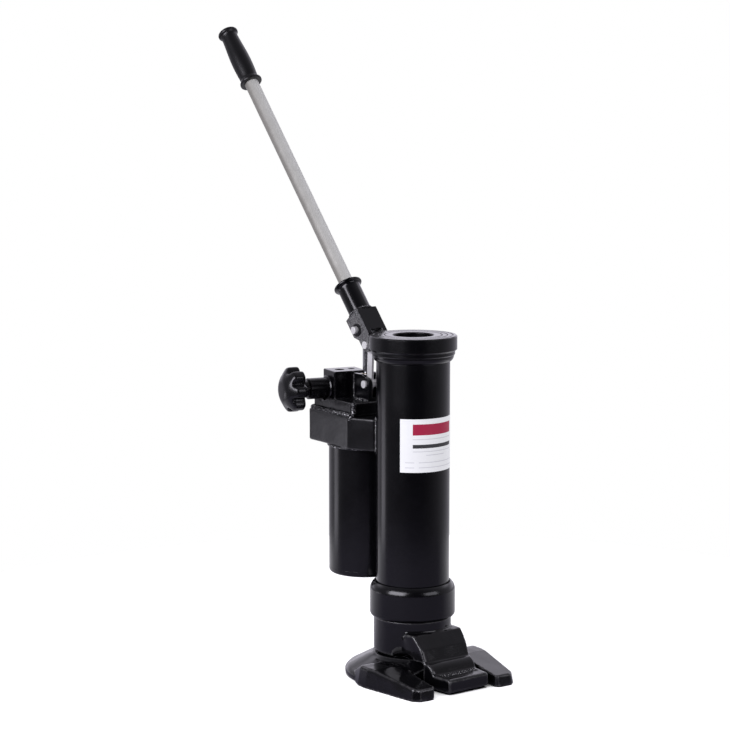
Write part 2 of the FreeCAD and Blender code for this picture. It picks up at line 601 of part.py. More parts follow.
def make_barrel():
    """Pump barrel with its gland, suction valve and pick-up pipe, all on the plunger's line."""
    outer = d.barrel_od / 2
    bore = d.plunger_dia / 2 + d.running_gap
    gland = d.gland_dia / 2
    gland_foot = BARREL_TOP - d.gland_deep
    seal_top = gland_foot + d.plunger_seal_tall
    ball_way = d.ball_way / 2
    chamber = BARREL_FOOT + d.chamber_floor
    barrel = revolved("PumpBarrel", [
        (d.seat_way / 2, BARREL_FOOT), (outer, BARREL_FOOT), (outer, BARREL_TOP), (gland, BARREL_TOP),
        (gland, gland_foot), (bore, gland_foot), (bore, chamber), (d.seat_way / 2, chamber)])
    keep("pump_barrel", place(barrel, (0, d.pump_reach, 0)))
    ring("plunger_seal", d.plunger_dia / 2 + d.seal_gap, gland, gland_foot, seal_top, 0, d.pump_reach)
    ring("gland_nut", bore, gland, seal_top, BARREL_TOP, 0, d.pump_reach)
    seat_floor = SEAT_FOOT + d.seat_floor
    seat = revolved("SuctionSeat", [
        (d.seat_way / 2, SEAT_FOOT), (outer, SEAT_FOOT), (outer, BARREL_FOOT), (ball_way, BARREL_FOOT),
        (ball_way, seat_floor), (d.seat_way / 2, seat_floor)])
    keep("suction_seat", place(seat, (0, d.pump_reach, 0)))
    rest = seat_floor + ball_rise(d.suction_ball_dia, d.seat_way)
    keep("suction_ball", ball("SuctionBall", d.suction_ball_dia, (0, d.pump_reach, rest)))
    ring("suction_pipe", d.pipe_bore / 2, d.pipe_od / 2, d.pipe_foot, SEAT_FOOT, 0, d.pump_reach)
    cage = d.strainer_od / 2
    cup_top = d.pipe_foot
    cup_foot = cup_top - d.strainer_tall
    strainer = revolved("SuctionStrainer", [
        (0, cup_foot), (cage, cup_foot), (cage, cup_top), (d.pipe_bore / 2, cup_top),
        (d.pipe_bore / 2, cup_top - d.strainer_wall), (cage - d.strainer_wall, cup_top - d.strainer_wall),
        (cage - d.strainer_wall, cup_foot + d.strainer_wall), (0, cup_foot + d.strainer_wall)])
    keep("suction_strainer", place(strainer, (0, d.pump_reach, 0)))


def ball(name, dia, at):
    """A valve ball."""
    obj = doc.addObject("Part::Sphere", name)
    bind(obj, "Radius", dia / 2)
    return place(obj, at)


def ball_rise(dia, way):
    """How far a valve ball's centre stands off the edge of the hole it closes, with a little room."""
    return root((dia * dia - way * way) / 4) + d.free_gap


def valve_spot(along, across, up):
    """A point of the valve block's own frame, in the jack's frame."""
    turn = d.valve_turn
    return (along * cosine(turn) + across * sine(turn) - d.valve_left,
            across * cosine(turn) - along * sine(turn) + d.valve_back, DECK_TOP + up)


def at_valve(obj, spot=(as_size(0), as_size(0), as_size(0))):
    """Move a piece from the valve block's own frame to its place on the deck."""
    return place(obj, valve_spot(*spot), Z_AXIS, -d.valve_turn)


def make_socket_screw(label, dia, foot, key, spot):
    """A sunk screw with a hexagon socket in the top of the valve block."""
    word = label.title().replace("_", "")
    top = d.valve_tall - d.screw_sunk
    body = cylinder(word + "Body", dia / 2, foot, top, *spot)
    socket = hexagon(word + "Key", key, top - d.key_deep, top, *spot)
    keep(label, at_valve(cut(word, body, socket)))


def make_valve_block():
    """Valve block on the deck with its relief screw, and the delivery valve under its plug."""
    seat = d.delivery_up
    relief = (d.relief_along, d.relief_across)
    delivery = (d.delivery_along, d.delivery_across)
    relief_foot = d.valve_tall - d.relief_deep
    plug_foot = d.valve_tall - d.delivery_plug_deep
    blank = padded("ValveBlank", "XY_Plane", [
        (0, 0), (d.valve_long, 0), (d.valve_long, d.valve_wide), (0, d.valve_wide)], d.valve_tall)
    soften(blank, is_upright, d.valve_round)
    soften(blank, lies_at(d.valve_tall), d.edge_break)
    ways = [
        along_x("ReleaseWay", d.spindle_dia / 2 + d.running_gap, 0, d.spindle_deep + d.release_seat,
                d.valve_wide / 2, d.valve_axis_up),
        cylinder("ReliefWay", d.relief_dia / 2, relief_foot, d.valve_tall, *relief),
        cylinder("PlugWay", d.delivery_plug_dia / 2, plug_foot, d.valve_tall, *delivery),
        cylinder("DeliveryWay", d.delivery_dia / 2, seat, plug_foot, *delivery),
        cylinder("DeliverySeat", d.delivery_way / 2, seat - d.delivery_way_long, seat, *delivery)]
    keep("valve_block", at_valve(cut("ValveBlock", blank, *ways)))
    make_socket_screw("relief_screw", d.relief_dia, relief_foot, d.relief_key, relief)
    make_socket_screw("delivery_plug", d.delivery_plug_dia, plug_foot, d.delivery_key, delivery)
    ball_up = seat + ball_rise(d.delivery_ball_dia, d.delivery_way)
    keep("delivery_ball", ball("DeliveryBall", d.delivery_ball_dia, valve_spot(*delivery, ball_up)))
    make_spring(delivery, ball_up + d.delivery_ball_dia / 2 + d.free_gap, plug_foot)


def make_spring(spot, foot, top):
    """Coil spring that holds the delivery ball on its seat."""
    wire = d.spring_wire / 2
    coil = d.spring_dia / 2
    helix = doc.addObject("Part::Helix", "SpringLine")
    bind(helix, "Pitch", d.spring_pitch)
    bind(helix, "Height", top - foot - d.spring_wire)
    bind(helix, "Radius", coil)
    place(helix, (spot[0], spot[1], foot + wire))
    section = doc.addObject("Part::Circle", "SpringWire")
    bind(section, "Radius", wire)
    place(section, (spot[0] + coil, spot[1], foot + wire), X_AXIS, RIGHT_ANGLE)
    doc.recompute()
    spring = doc.addObject("Part::Sweep", "DeliverySpring")
    spring.Sections = [section]
    spring.Spine = (helix, ["Edge%d" % n for n in range(1, len(helix.Shape.Edges) + 1)])
    spring.Solid = True
    spring.Frenet = True
    keep("delivery_spring", at_valve(spring))


def make_release_valve():
    """Release valve: threaded sleeve in the block's end, spindle and star knob, along local X."""
    bore = d.spindle_dia / 2 + d.running_gap
    neck = d.release_long - d.release_neck
    sleeve = revolved("ReleaseSleeve", [
        (-d.release_long, bore), (-d.release_long, d.release_neck_od / 2), (-neck, d.release_neck_od / 2),
        (-(neck - d.edge_break), d.release_od / 2), (-d.release_collar, d.release_od / 2),
        (-d.release_collar, d.release_collar_od / 2 - d.edge_break),
        (-(d.release_collar - d.edge_break), d.release_collar_od / 2), (0, d.release_collar_od / 2),
        (0, bore)], lying=True)
    keep("release_sleeve", at_valve(sleeve, RELEASE_SPOT))
    rod = d.spindle_dia / 2
    spindle = revolved("ReleaseSpindle", [
        (-d.spindle_out, 0), (-d.spindle_out, rod), (d.spindle_deep - d.spindle_tip, rod),
        (d.spindle_deep, d.spindle_point_dia / 2), (d.spindle_deep, 0)], lying=True)
    keep("release_spindle", at_valve(spindle, RELEASE_SPOT))
    make_knob(bore)


def make_knob(bore):
    """Star knob with rounded lobes and a domed front."""
    back = d.knob_out
    front = back + d.knob_thick
    face = d.knob_face_dia / 2
    lobe = d.lobe_dia / 2
    arm = d.knob_dia / 2 - lobe
    core = revolved("KnobCore", [
        (-(front + d.knob_dome), 0), (-front, face, -dome_round(face, d.knob_dome)),
        (-(front - d.knob_face), face), (-(front - d.knob_face), d.knob_core_dia / 2),
        (-back, d.knob_core_dia / 2), (-back, d.knob_hub_dia / 2),
        (-(back - d.knob_hub), d.knob_hub_dia / 2),
        (-(back - d.knob_hub), 0)], lying=True)
    pieces = [core]
    for n in range(KNOB_LOBES):
        angle = math.radians(FULL_TURN * n / KNOB_LOBES)
        knob_lobe = revolved("Lobe%d" % n, [
            (-front, 0), (-front, lobe - d.knob_break), (-(front - d.knob_break), lobe, -d.knob_break),
            (-(back + d.knob_break), lobe), (-back, lobe - d.knob_break, -d.knob_break), (-back, 0)],
            lying=True)
        pieces.append(place(knob_lobe, (0, arm * math.cos(angle), arm * math.sin(angle))))
    hole = along_x("KnobBore", bore, -d.spindle_out - d.free_gap, -(back - d.knob_hub), 0, 0)
    keep("star_knob", at_valve(cut("StarKnob", fuse("KnobBlank", *pieces), hole), RELEASE_SPOT))


def make_clevis():
    """Clevis on the deck that carries the foot of the fulcrum link, and its pin."""
    front = CLEVIS_Y - d.clevis_front
    back = CLEVIS_Y + d.clevis_back
    top = DECK_TOP + d.clevis_up
    half = d.clevis_gap / 2
    outer = d.clevis_gap + d.clevis_thick * 2
    blank = padded("ClevisBlank", "YZ_Plane", [
        (front, DECK_TOP), (back, DECK_TOP), (back, top), (CLEVIS_Y + d.clevis_front, top),
        (CLEVIS_Y, CLEVIS_Z + d.clevis_front), (front, CLEVIS_Z, d.clevis_front)], outer, symmetric=True)
    sole_back = CLEVIS_Y + d.clevis_front
    gap = box("ClevisGap", (-half, front, DECK_TOP + d.clevis_sole), (half, back, top))
    heel = box("ClevisHeel", (-half, sole_back, DECK_TOP), (half, back, top))
    hole = cross_pin("ClevisHole", PIN_R, outer, CLEVIS)
    barrel = cylinder("ClevisBarrelWay", d.barrel_od / 2 + d.free_gap, DECK_TOP, top, 0, d.pump_reach)
    keep("fulcrum_clevis", cut("FulcrumClevis", blank, gap, heel, hole, barrel))
    keep("clevis_pin", cross_pin("ClevisPin", PIN_R, d.clevis_pin_long, CLEVIS))


def make_link():
    """Fulcrum link: two straps between the clevis and the lever bracket."""
    eye = d.link_eye_dia / 2
    bore = PIN_R + d.running_gap
    inner = d.link_gap / 2
    outer = inner + d.link_thick
    long = outer * 2
    ends = ((0, 0), (0, d.link_long))
    tip = d.link_long + d.link_over
    bar = box("LinkBar", (-outer, -d.link_wide / 2, 0), (outer, d.link_wide / 2, tip))
    eyes = [cross_pin("LinkEye%d" % n, eye, long, spot) for n, spot in enumerate(ends)]
    bores = [cross_pin("LinkBore%d" % n, bore, long, spot) for n, spot in enumerate(ends)]
    gap = box("LinkGap", (-inner, -d.link_eye_dia, -d.link_eye_dia),
              (inner, d.link_eye_dia, tip + d.link_eye_dia))
    link = cut("FulcrumLink", fuse("LinkBlank", bar, *eyes), gap, *bores)
    keep("fulcrum_links", place(link, (0, CLEVIS_Y, CLEVIS_Z), X_AXIS, d.link_lean))


def make_plunger():
    """Pump plunger with the eye for the lever's pin; the eye has play, as the loop is opened there."""
    rod = cylinder("PlungerRod", d.plunger_dia / 2, PLUNGER_FOOT, PLUNGER_PIN_Z, 0, d.pump_reach)
    eye = cross_pin("PlungerEye", d.plunger_eye_dia / 2, d.plunger_eye_thick, PLUNGER_PIN)
    hole = cross_pin("PlungerHole", PIN_R + d.open_pivot_gap, d.plunger_eye_dia, PLUNGER_PIN)
    keep("plunger", cut("Plunger", fuse("PlungerBlank", rod, eye), hole))


def on_lever(obj):
    """Place a piece made with the fulcrum at its origin and the lever along Z."""
    return place(obj, (0, FULCRUM_Y, FULCRUM_Z), X_AXIS, -d.lever_lean)


def make_lever():
    """Lever: bent bracket, socket, tube and hand grip, with the two pins in the bracket."""
    tip = d.tip_dia / 2
    inner = d.bracket_width / 2 - d.plate_thick
    plate = padded("BracketBlank", "YZ_Plane", [
        (-d.plate_front, d.plate_up), (-d.plate_front, d.plate_shoulder), (-tip, 0), (0, -tip, tip),
        (tip, 0, tip), (tip, d.plate_notch), (d.plate_back, d.plate_step), (d.plate_back, d.plate_up)],
        d.bracket_width, symmetric=True)
    gap = box("BracketGap", (-inner, -(d.plate_front - d.web_thick), -d.tip_dia),
              (inner, d.plate_back, d.plate_up))
    notch = box("WebNotch", (-inner, -d.plate_front, -d.tip_dia), (inner, 0, d.web_foot))
    fulcrum_hole = cross_pin("FulcrumHole", PIN_R, d.bracket_width, (0, 0))
    plunger_hole = cross_pin("PlungerPinHole", PIN_R, d.bracket_width,
                             (d.plunger_pin_back, d.plunger_pin_along))
    keep("lever_bracket", on_lever(cut("LeverBracket", plate, gap, notch, fulcrum_hole, plunger_hole)))
    keep("fulcrum_pin", cross_pin("FulcrumPin", PIN_R, d.fulcrum_pin_long, FULCRUM))
    keep("plunger_pin", cross_pin("PlungerPin", PIN_R, d.plunger_pin_long, PLUNGER_PIN))
    clips = cross_pin("ClipDiscs", d.clip_dia / 2, d.bracket_width + d.clip_thick * 2, PLUNGER_PIN)
    between = cross_pin("ClipGap", d.clip_dia, d.bracket_width, PLUNGER_PIN)
    bore = cross_pin("ClipBore", PIN_R, d.plunger_pin_long, PLUNGER_PIN)
    keep("pin_clips", cut("PinClips", clips, between, bore))
    tube = d.lever_od / 2
    socket = d.lever_socket_od / 2
    flange = d.socket_flange_od / 2
    flange_foot = d.lever_socket_top - d.socket_flange
    keep("lever_socket", on_lever(revolved("LeverSocket", [
        (tube, d.plate_up), (socket, d.plate_up), (socket, flange_foot - d.socket_flange),
        (socket + d.edge_break, flange_foot), (flange - d.edge_break, flange_foot),
        (flange, flange_foot + d.edge_break), (flange, d.lever_socket_top), (tube, d.lever_socket_top)])))
    keep("lever_tube", on_lever(revolved("LeverTube", [
        (tube - d.lever_wall, d.plate_up), (tube, d.plate_up), (tube, d.lever_top),
        (tube - d.lever_wall, d.lever_top)])))
    make_grip(tube)


def make_grip(tube):
    """Hand grip with a belly, a flange at each end and a domed end."""
    end = d.lever_top + d.grip_cap
    foot = end - d.grip_long
    low = d.grip_low_flange / 2
    high = d.grip_top_flange / 2
    waist = d.grip_od / 2
    belly_foot = foot + d.grip_flange + d.grip_flange_slope
    dome_foot = end - d.grip_flange * 2
    rise = end - dome_foot - d.edge_break
    belly_top = dome_foot - d.grip_flange_slope
    keep("hand_grip", on_lever(revolved("HandGrip", [
        (tube, foot), (low - d.edge_break, foot), (low, foot + d.edge_break), (low, foot + d.grip_flange),
        (waist, belly_foot), (waist, belly_top, d.grip_belly), (high, dome_foot),
        (high, dome_foot + d.edge_break), (0, end, dome_round(high, rise)), (0, d.lever_top),
        (tube, d.lever_top)])))


def write_parts():
    """Check every object, then write one file for each sub-part."""
    doc.recompute()
    for obj in doc.Objects:
        if "Invalid" in obj.State or "Error" in obj.State:
            raise RuntimeError("%s did not compute" % obj.Name)
    os.makedirs("parts", exist_ok=True)
    for obj in PARTS:
        if obj.Shape.isNull() or not obj.Shape.isValid():
            raise RuntimeError("%s has no valid shape" % obj.Label)
        obj.Shape.exportStep("parts/%s.step" % obj.Label)
        print(obj.Label, len(obj.Shape.Solids), round(obj.Shape.Volume))


make_base()
make_ram()
make_head()
make_cylinder()
make_toe()
make_pump_body()
make_barrel()
make_valve_block()
make_release_valve()
make_clevis()
make_link()
make_plunger()
make_lever()
write_parts()
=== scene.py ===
import json
import math

import bmesh
import bpy
import numpy as np
from mathutils import Matrix, Vector
from mathutils import noise as mathnoise


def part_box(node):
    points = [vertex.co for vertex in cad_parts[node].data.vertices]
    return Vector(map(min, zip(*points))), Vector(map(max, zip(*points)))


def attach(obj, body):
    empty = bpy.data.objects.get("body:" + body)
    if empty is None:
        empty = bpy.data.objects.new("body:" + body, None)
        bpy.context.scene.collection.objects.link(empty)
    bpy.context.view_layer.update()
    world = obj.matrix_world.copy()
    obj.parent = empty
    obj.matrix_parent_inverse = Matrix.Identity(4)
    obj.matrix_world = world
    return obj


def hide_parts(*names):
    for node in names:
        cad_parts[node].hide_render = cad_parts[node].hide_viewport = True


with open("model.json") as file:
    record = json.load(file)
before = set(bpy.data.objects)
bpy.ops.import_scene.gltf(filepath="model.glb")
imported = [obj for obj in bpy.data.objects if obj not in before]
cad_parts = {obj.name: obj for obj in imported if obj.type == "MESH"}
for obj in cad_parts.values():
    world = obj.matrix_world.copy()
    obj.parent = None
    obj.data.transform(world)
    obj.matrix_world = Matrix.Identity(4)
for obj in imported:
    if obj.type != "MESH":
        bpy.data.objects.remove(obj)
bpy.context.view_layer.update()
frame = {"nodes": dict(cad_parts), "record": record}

bl_info = {
    "name": "Machine jack dresser",
    "version": (1, 0, 0),
    "blender": (4, 5, 0),
    "location": "View3D > Sidebar > Jack",
    "description": "Finishes, castings, knob, lever ends, welds and studio for a hydraulic machine jack",
    "category": "Object",
}

MM = 0.001
FULL_TURN = math.tau
UP = Vector((0.0, 0.0, 1.0))
FLOAT = "NodeSocketFloat"
VECTOR = "NodeSocketVector"
JOINTS = {joint["name"]: joint for joint in frame["record"]["behaviour"]["joints"]}

# Camera as the jack was seen: turned to its left, a little above the head, looking slightly down.
CAMERA_TURN = math.radians(-38.0)
CAMERA_AWAY = 2.6
CAMERA_UP = 0.735
CAMERA_DOWN = math.radians(7.716)
IMAGE_WIDE = 730
FOCAL_PIXELS = 2158.2
AXIS_PIXEL = 413.6
SENSOR = 36.0

# Soft boxes: their way towards the camera, to its right and up, then width, height and power.
SOFT_BOXES = (
    ("left_box", (1.52, -1.5, 1.07), 1.85, 1.35, 55.0),
    ("right_box", (1.3, 1.75, 0.95), 1.5, 1.1, 11.0),
    ("side_panel", (-0.55, -2.13, -0.25), 0.7, 0.5, 1.5))
LIGHT_AIM = Vector((0.0, 0.05, 0.25))
LIGHT_COLOUR = (0.98, 0.96, 1.06)

# Room: its tint, and two walls of light by heights of coming up, heights of fading out and brightness.
ROOM_TINT = (0.98, 0.95, 1.07, 1.0)
HIGH_WALL = ((0.36, 0.52), (0.7, 0.58), 0.8)
LOW_WALL = ((-0.02, 0.06), (0.36, 0.12), 0.74)

# Floor: its depth under the foot, its sides, the reach of the shade on it and its tones.
FLOOR_DROP = 0.4 * MM
FLOOR_SIDES = 96
FLOOR_SHADE = 0.05
FLOOR_PALE = (0.8, 0.8, 0.8, 1.0)
FLOOR_PALER = (0.84, 0.84, 0.84, 1.0)
FLOOR_DARK = (0.01, 0.01, 0.01, 1.0)
FLOOR_MIRRORED = (0.33, 0.315, 0.385, 1.0)
WHITE = (1.0, 1.0, 1.0, 1.0)

# Colours of metals and mouldings, the lever tube's as a lit copy and a painted-shade copy, then of dust,
# wear and bare spots, the plate's bare spots also being painted sheen.
CHROME = (0.74, 0.75, 0.77)
STEEL = (0.5, 0.5, 0.51)
ZINC = (0.92, 0.92, 0.9)
DARK_STEEL = (0.03, 0.03, 0.033)
# Lever tube: the pale colour of its lit right flank, and the painted shade of its left flank.
TUBE_LIT_STEEL = (0.93, 0.94, 0.875)
TUBE_PAINTED_SHADE = (0.27, 0.264, 0.236)
BRASS = (0.4, 0.3, 0.15)
RUBBER = (0.02, 0.02, 0.02)
GUIDE_PLASTIC = (0.4, 0.34, 0.24)
PAINT_DUST = (0.06, 0.06, 0.062, 1.0)
PAINT_WORN = (0.12, 0.12, 0.12, 1.0)
PLATE_BARE_AND_SHEEN = (0.26, 0.26, 0.26, 1.0)
PLASTIC_DUST = (0.05, 0.05, 0.05, 1.0)
BEAD_SPECK = (0.5, 0.5, 0.5, 1.0)

# Rounds of the edges under paint and on metal, and the width of the edges that are rubbed.
PAINT_ROUND = 0.5 * MM
METAL_ROUND = 0.4 * MM
RUB_WIDE = 1.2 * MM

# Painted shade on the lever tube, for the dark side that it mirrors: full at its left flank, gone a little
# right of its middle, and how far it smears.
PAINTED_SHADE_FULL = -9.2 * MM
PAINTED_SHADE_GONE = 0.5 * MM
PAINTED_SHADE_SMEAR = 1.2 * MM

# Sticker: half its angle round the tube, its foot and its height.
STICKER_HALF_ARC = math.radians(58.0)
STICKER_FOOT = 0.258
STICKER_TALL = 0.065

# Marks on the sticker: left and right as shares of its half width, foot and top as shares of its height.
DARK_INK = (0.02, 0.02, 0.022, 1.0)
PALE_INK = (0.36, 0.36, 0.38, 1.0)
STICKER_BAND = (-0.66, 0.66, 0.70, 0.905)
STICKER_MARKS = (
    (-0.66, 0.66, 0.455, 0.525, DARK_INK), (-0.66, 0.66, 0.615, 0.63, PALE_INK),
    (-0.66, 0.66, 0.385, 0.4, PALE_INK), (-0.3, 0.3, 0.315, 0.33, PALE_INK),
    (-0.86, -0.62, 0.18, 0.195, PALE_INK), (-0.5, 0.86, 0.18, 0.195, PALE_INK),
    (-0.86, -0.62, 0.085, 0.1, PALE_INK), (-0.5, 0.86, 0.085, 0.1, PALE_INK))

# Pieces whose finish isn't the one of their slot.
OWN_FINISH = {"lever_bracket": "plate_black"}

# Castings: node, body, finish, rounds of smoothing, and the clear bore by its radius and lower end.
CASTINGS = (
    ("base_plate", "foot", "cast_black", 3, (25.1 * MM, 12.5 * MM)),
    ("lifting_toe", "cylinder", "cast_black", 3, (32.0 * MM, 0.0)),
    ("pump_block", "cylinder", "block_black", 5, None),
    ("pump_deck", "cylinder", "block_black", 4, None))
BORE_SKIN = 1.5 * MM
JOIN_GAP = 0.002 * MM

# Skin of a casting: the height of a full ridge, the share below which none shows, and waves per metre.
RIDGE = 0.075 * MM
RIDGE_FLOOR = 0.35
SLOW_WAVES = 55.0
QUICK_WAVES = 190.0
QUICK_SHIFT = Vector((7.0, 3.0, 5.0))
QUICK_SHARE = 0.2

# Root of the toe, blended into its sleeve, and the sleeve's rim, which is raised into the collar.
TOE_ROOT = (39.0 * MM, -33.0 * MM)
TOE_ROOT_FADE = 17.0 * MM
TOE_ROOT_ROUNDS = 300
TOE_TOP = 60.0 * MM
TOE_TOP_KEEP = 3.0 * MM
TOE_TOP_FADE = 6.0 * MM
SLEEVE_RIM = 2.5 * MM
SLEEVE_RAISE = 1.5 * MM

# Star knob on the spindle's axis: rings by distance out, radius and share of the notches, in millimetres.
KNOB_SPOT = Vector(JOINTS["knob_turn"]["pos_m"])
KNOB_OUT = Vector(JOINTS["knob_turn"]["axis"])
KNOB_LOBES = 7
KNOB_STEPS = 168
KNOB_NOTCH_POWER = 2.4
KNOB_DRAWN = 28.5 * MM
KNOB_RINGS = (
    (38.5, 9.6, 0.0), (38.5, 10.6, 0.0), (38.8, 11.0, 0.0), (39.4, 12.0, 0.0), (39.6, 16.0, 0.1),
    (39.6, 22.0, 0.55), (39.7, 25.6, 0.9), (40.1, 27.2, 1.0), (41.0, 28.1, 1.0), (42.4, 28.5, 1.0),
    (46.5, 28.5, 1.0), (50.5, 28.5, 1.0), (52.6, 28.4, 1.0), (54.2, 28.0, 1.0), (55.2, 27.2, 0.95),
    (56.0, 26.2, 0.75), (56.9, 25.0, 0.45), (58.0, 23.4, 0.2), (59.4, 21.2, 0.06), (61.4, 18.0, 0.0),
    (63.0, 15.0, 0.0), (64.1, 12.2, 0.0), (64.7, 9.4, 0.0), (64.9, 5.0, 0.0), (64.95, 1.2, 0.0))

# Lever, in millimetres: its fulcrum, its lean at rest, rings of grip and socket by length and radius.
FULCRUM = Vector(JOINTS["lever_stroke"]["pos_m"]) / MM
LEVER_LEAN = math.radians(40.5)
LEVER_SIDES = 48
GRIP_RINGS = (
    (421.0, 9.4), (421.0, 14.2), (421.5, 15.0), (424.0, 15.0), (424.8, 14.4), (426.5, 12.4), (429.0, 12.0),
    (436.0, 12.5), (446.0, 13.1), (458.0, 13.3), (470.0, 12.9), (482.0, 12.0), (492.0, 11.3), (500.0, 10.9),
    (503.0, 11.2), (504.6, 13.0), (505.4, 13.7), (508.0, 13.7), (509.4, 12.4), (510.4, 9.8), (510.9, 6.0),
    (511.0, 1.0))
SOCKET_RINGS = (
    (46.5, 9.6), (46.5, 13.6), (46.9, 14.2), (47.6, 14.4), (60.0, 14.4), (75.0, 14.4), (85.0, 14.4),
    (86.4, 14.7), (87.4, 15.9), (88.2, 17.6), (88.6, 18.2), (89.2, 18.4), (90.4, 18.4), (91.0, 18.0),
    (91.2, 17.2), (91.2, 9.6))

# Weld beads: sides, steps to a ripple, height of a ripple as a share, lumps per metre and waver.
BEAD_SIDES = 12
BEAD_STEPS = 5.0
BEAD_RIPPLE = 0.22
BEAD_LUMPS = 160.0
BEAD_WAVER = 0.9 * MM

# Runs of the beads in millimetres: half widths and paths, those of the left side being mirrored.
DECK_BEAD = 3.0
DECK_SEAM_UP = 315.4
DECK_EDGE = ((-44.2, 69.0), (-38.6, 153.0), (-37.0, 157.6), (-32.5, 160.2))
CORNER_BEAD = 2.5
CORNER_PATH = ((-40.6, 65.6, 332.0), (-41.8, 65.7, 322.0), (-42.6, 65.8, 315.6), (-45.0, 67.0, 313.4),
               (-46.9, 68.4, 309.6))
TUBE_BEAD = 1.9
TUBE_SEAM_RADIUS = 45.8
TUBE_SEAM_TURN = (49.0, 131.0)
TUBE_SEAMS_UP = (314.9, 273.2)
TANK_BEAD = 1.5
TANK_MIDDLE = (0.0, 97.8)
TANK_SEAM_RADIUS = 46.0
TANK_SEAM_UP = 272.9
TANK_SEAM_STEPS = 96
SEAM_BEAD = 1.7
BLOCK_SEAM_OUT = 31.0
BLOCK_SEAM = ((33.4, 312.5), (33.2, 294.0), (33.4, 275.5))
CLEVIS_FOOT_OUT = 15.6
CLEVIS_FOOT = ((71.0, 331.6), (99.5, 331.6))
CLEVIS_BEAD = 0.9
CLEVIS_EDGE_OUT = 14.8
CLEVIS_EDGE = ((100.6, 333.0), (100.9, 347.0), (100.6, 361.0))
LIP_RIDGE = 0.5
LIP_RIDGE_OUT = 27.0
LIP_RIDGE_UP = 18.5
LIP_RIDGES_AT = (-87.0, -89.6, -92.2, -94.8)
LEVER_BEAD = 1.6
LEVER_BEAD_ALONG = 47.4
LEVER_BEAD_RADIUS = 14.6


class JackSizes(bpy.types.PropertyGroup):
    """Sizes of the pieces that are added to the solids."""
    ripple: bpy.props.FloatProperty(
        name="Ripple pitch", description="Distance between two ripples of a weld", default=2.6 * MM,
        unit="LENGTH")
    grain: bpy.props.FloatProperty(
        name="Casting mesh", description="Edge length of the mesh of a casting", default=1.1 * MM,
        unit="LENGTH")
    unevenness: bpy.props.FloatProperty(
        name="Unevenness", description="How far a casting's skin wanders", default=0.22 * MM, unit="LENGTH")
    lobe: bpy.props.FloatProperty(
        name="Knob radius", description="Radius of the star knob over its lobes", default=28.5 * MM,
        unit="LENGTH")
    notch: bpy.props.FloatProperty(
        name="Knob notch", description="Depth of the finger notches of the star knob", default=7.4 * MM,
        unit="LENGTH")
    floor: bpy.props.FloatProperty(
        name="Floor radius", description="Radius of the studio floor", default=0.8, unit="LENGTH")


class JackColours(bpy.types.PropertyGroup):
    """Colours that a user would change."""
    paint: bpy.props.FloatVectorProperty(
        name="Paint", description="Gloss paint on machined steel", default=(0.0012, 0.0012, 0.0017),
        subtype="COLOR")
    foot: bpy.props.FloatVectorProperty(
        name="Foot paint", description="Paint on the foot and the toe", default=(0.002, 0.002, 0.0025),
        subtype="COLOR")
    block: bpy.props.FloatVectorProperty(
        name="Block paint", description="Duller paint on the pump block", default=(0.003, 0.003, 0.0036),
        subtype="COLOR")
    moulded: bpy.props.FloatVectorProperty(
        name="Moulded plastic", description="Knob and hand grip", default=(0.0025, 0.0025, 0.003),
        subtype="COLOR")
    film: bpy.props.FloatVectorProperty(
        name="Sticker", description="Ground of the sticker", default=(0.5, 0.505, 0.515), subtype="COLOR")
    band: bpy.props.FloatVectorProperty(
        name="Sticker band", description="Wide band of the sticker", default=(0.2, 0.008, 0.03),
        subtype="COLOR")


def sizes():
    return bpy.context.scene.jack_sizes


def colours():
    return bpy.context.scene.jack_colours


def rgba(colour):
    return (*colour, 1.0)


def add(tree, kind, inputs=(), **settings):
    """Add a node; an input takes a socket to link or a plain value."""
    node = tree.nodes.new(kind)
    for key, value in settings.items():
        setattr(node, key, value)
    for key, value in dict(inputs).items():
        feed(tree, node.inputs[key], value)
    return node


def feed(tree, socket, value):
    """Link a socket, or set a plain value."""
    if isinstance(value, bpy.types.NodeSocket):
        tree.links.new(value, socket)
    else:
        socket.default_value = value


def calc(tree, operation, *terms):
    """One Math node's result."""
    node = tree.nodes.new("ShaderNodeMath")
    node.operation = operation
    for n, term in enumerate(terms):
        feed(tree, node.inputs[n], term)
    return node.outputs[0]


def spread(tree, value, low, high, to_low=0.0, to_high=1.0):
    """Map a range to another, held at the ends."""
    node = add(tree, "ShaderNodeMapRange", {
        "Value": value, "From Min": low, "From Max": high, "To Min": to_low, "To Max": to_high})
    return node.outputs["Result"]


def slide(tree, share, low, high):
    """A value that goes from low to high as a share goes from nought to one."""
    return spread(tree, share, 0.0, 1.0, low, high)


def dot(tree, first, second):
    """How far two directions agree."""
    node = add(tree, "ShaderNodeVectorMath", {0: first, 1: second}, operation="DOT_PRODUCT")
    return node.outputs["Value"]


def camera_mix(tree, lighting, seen):
    """One shader for what the camera looks at, another for what lights the jack and shows in its gloss."""
    path = tree.nodes.new("ShaderNodeLightPath")
    node = add(tree, "ShaderNodeMixShader", {0: path.outputs["Is Camera Ray"], 1: lighting, 2: seen})
    return node.outputs[0]


def blend(tree, share, first, second):
    """Mix two colours."""
    node = tree.nodes.new("ShaderNodeMix")
    node.data_type = "RGBA"
    feed(tree, node.inputs[0], share)
    feed(tree, node.inputs[6], first)
    feed(tree, node.inputs[7], second)
    return node.outputs[2]


def noise(tree, where, scale, detail=2.0, rough=0.5):
    """Smooth noise, with its waves per metre."""
    node = add(tree, "ShaderNodeTexNoise", {
        "Vector": where, "Scale": scale, "Detail": detail, "Roughness": rough})
    return node.outputs["Fac"]


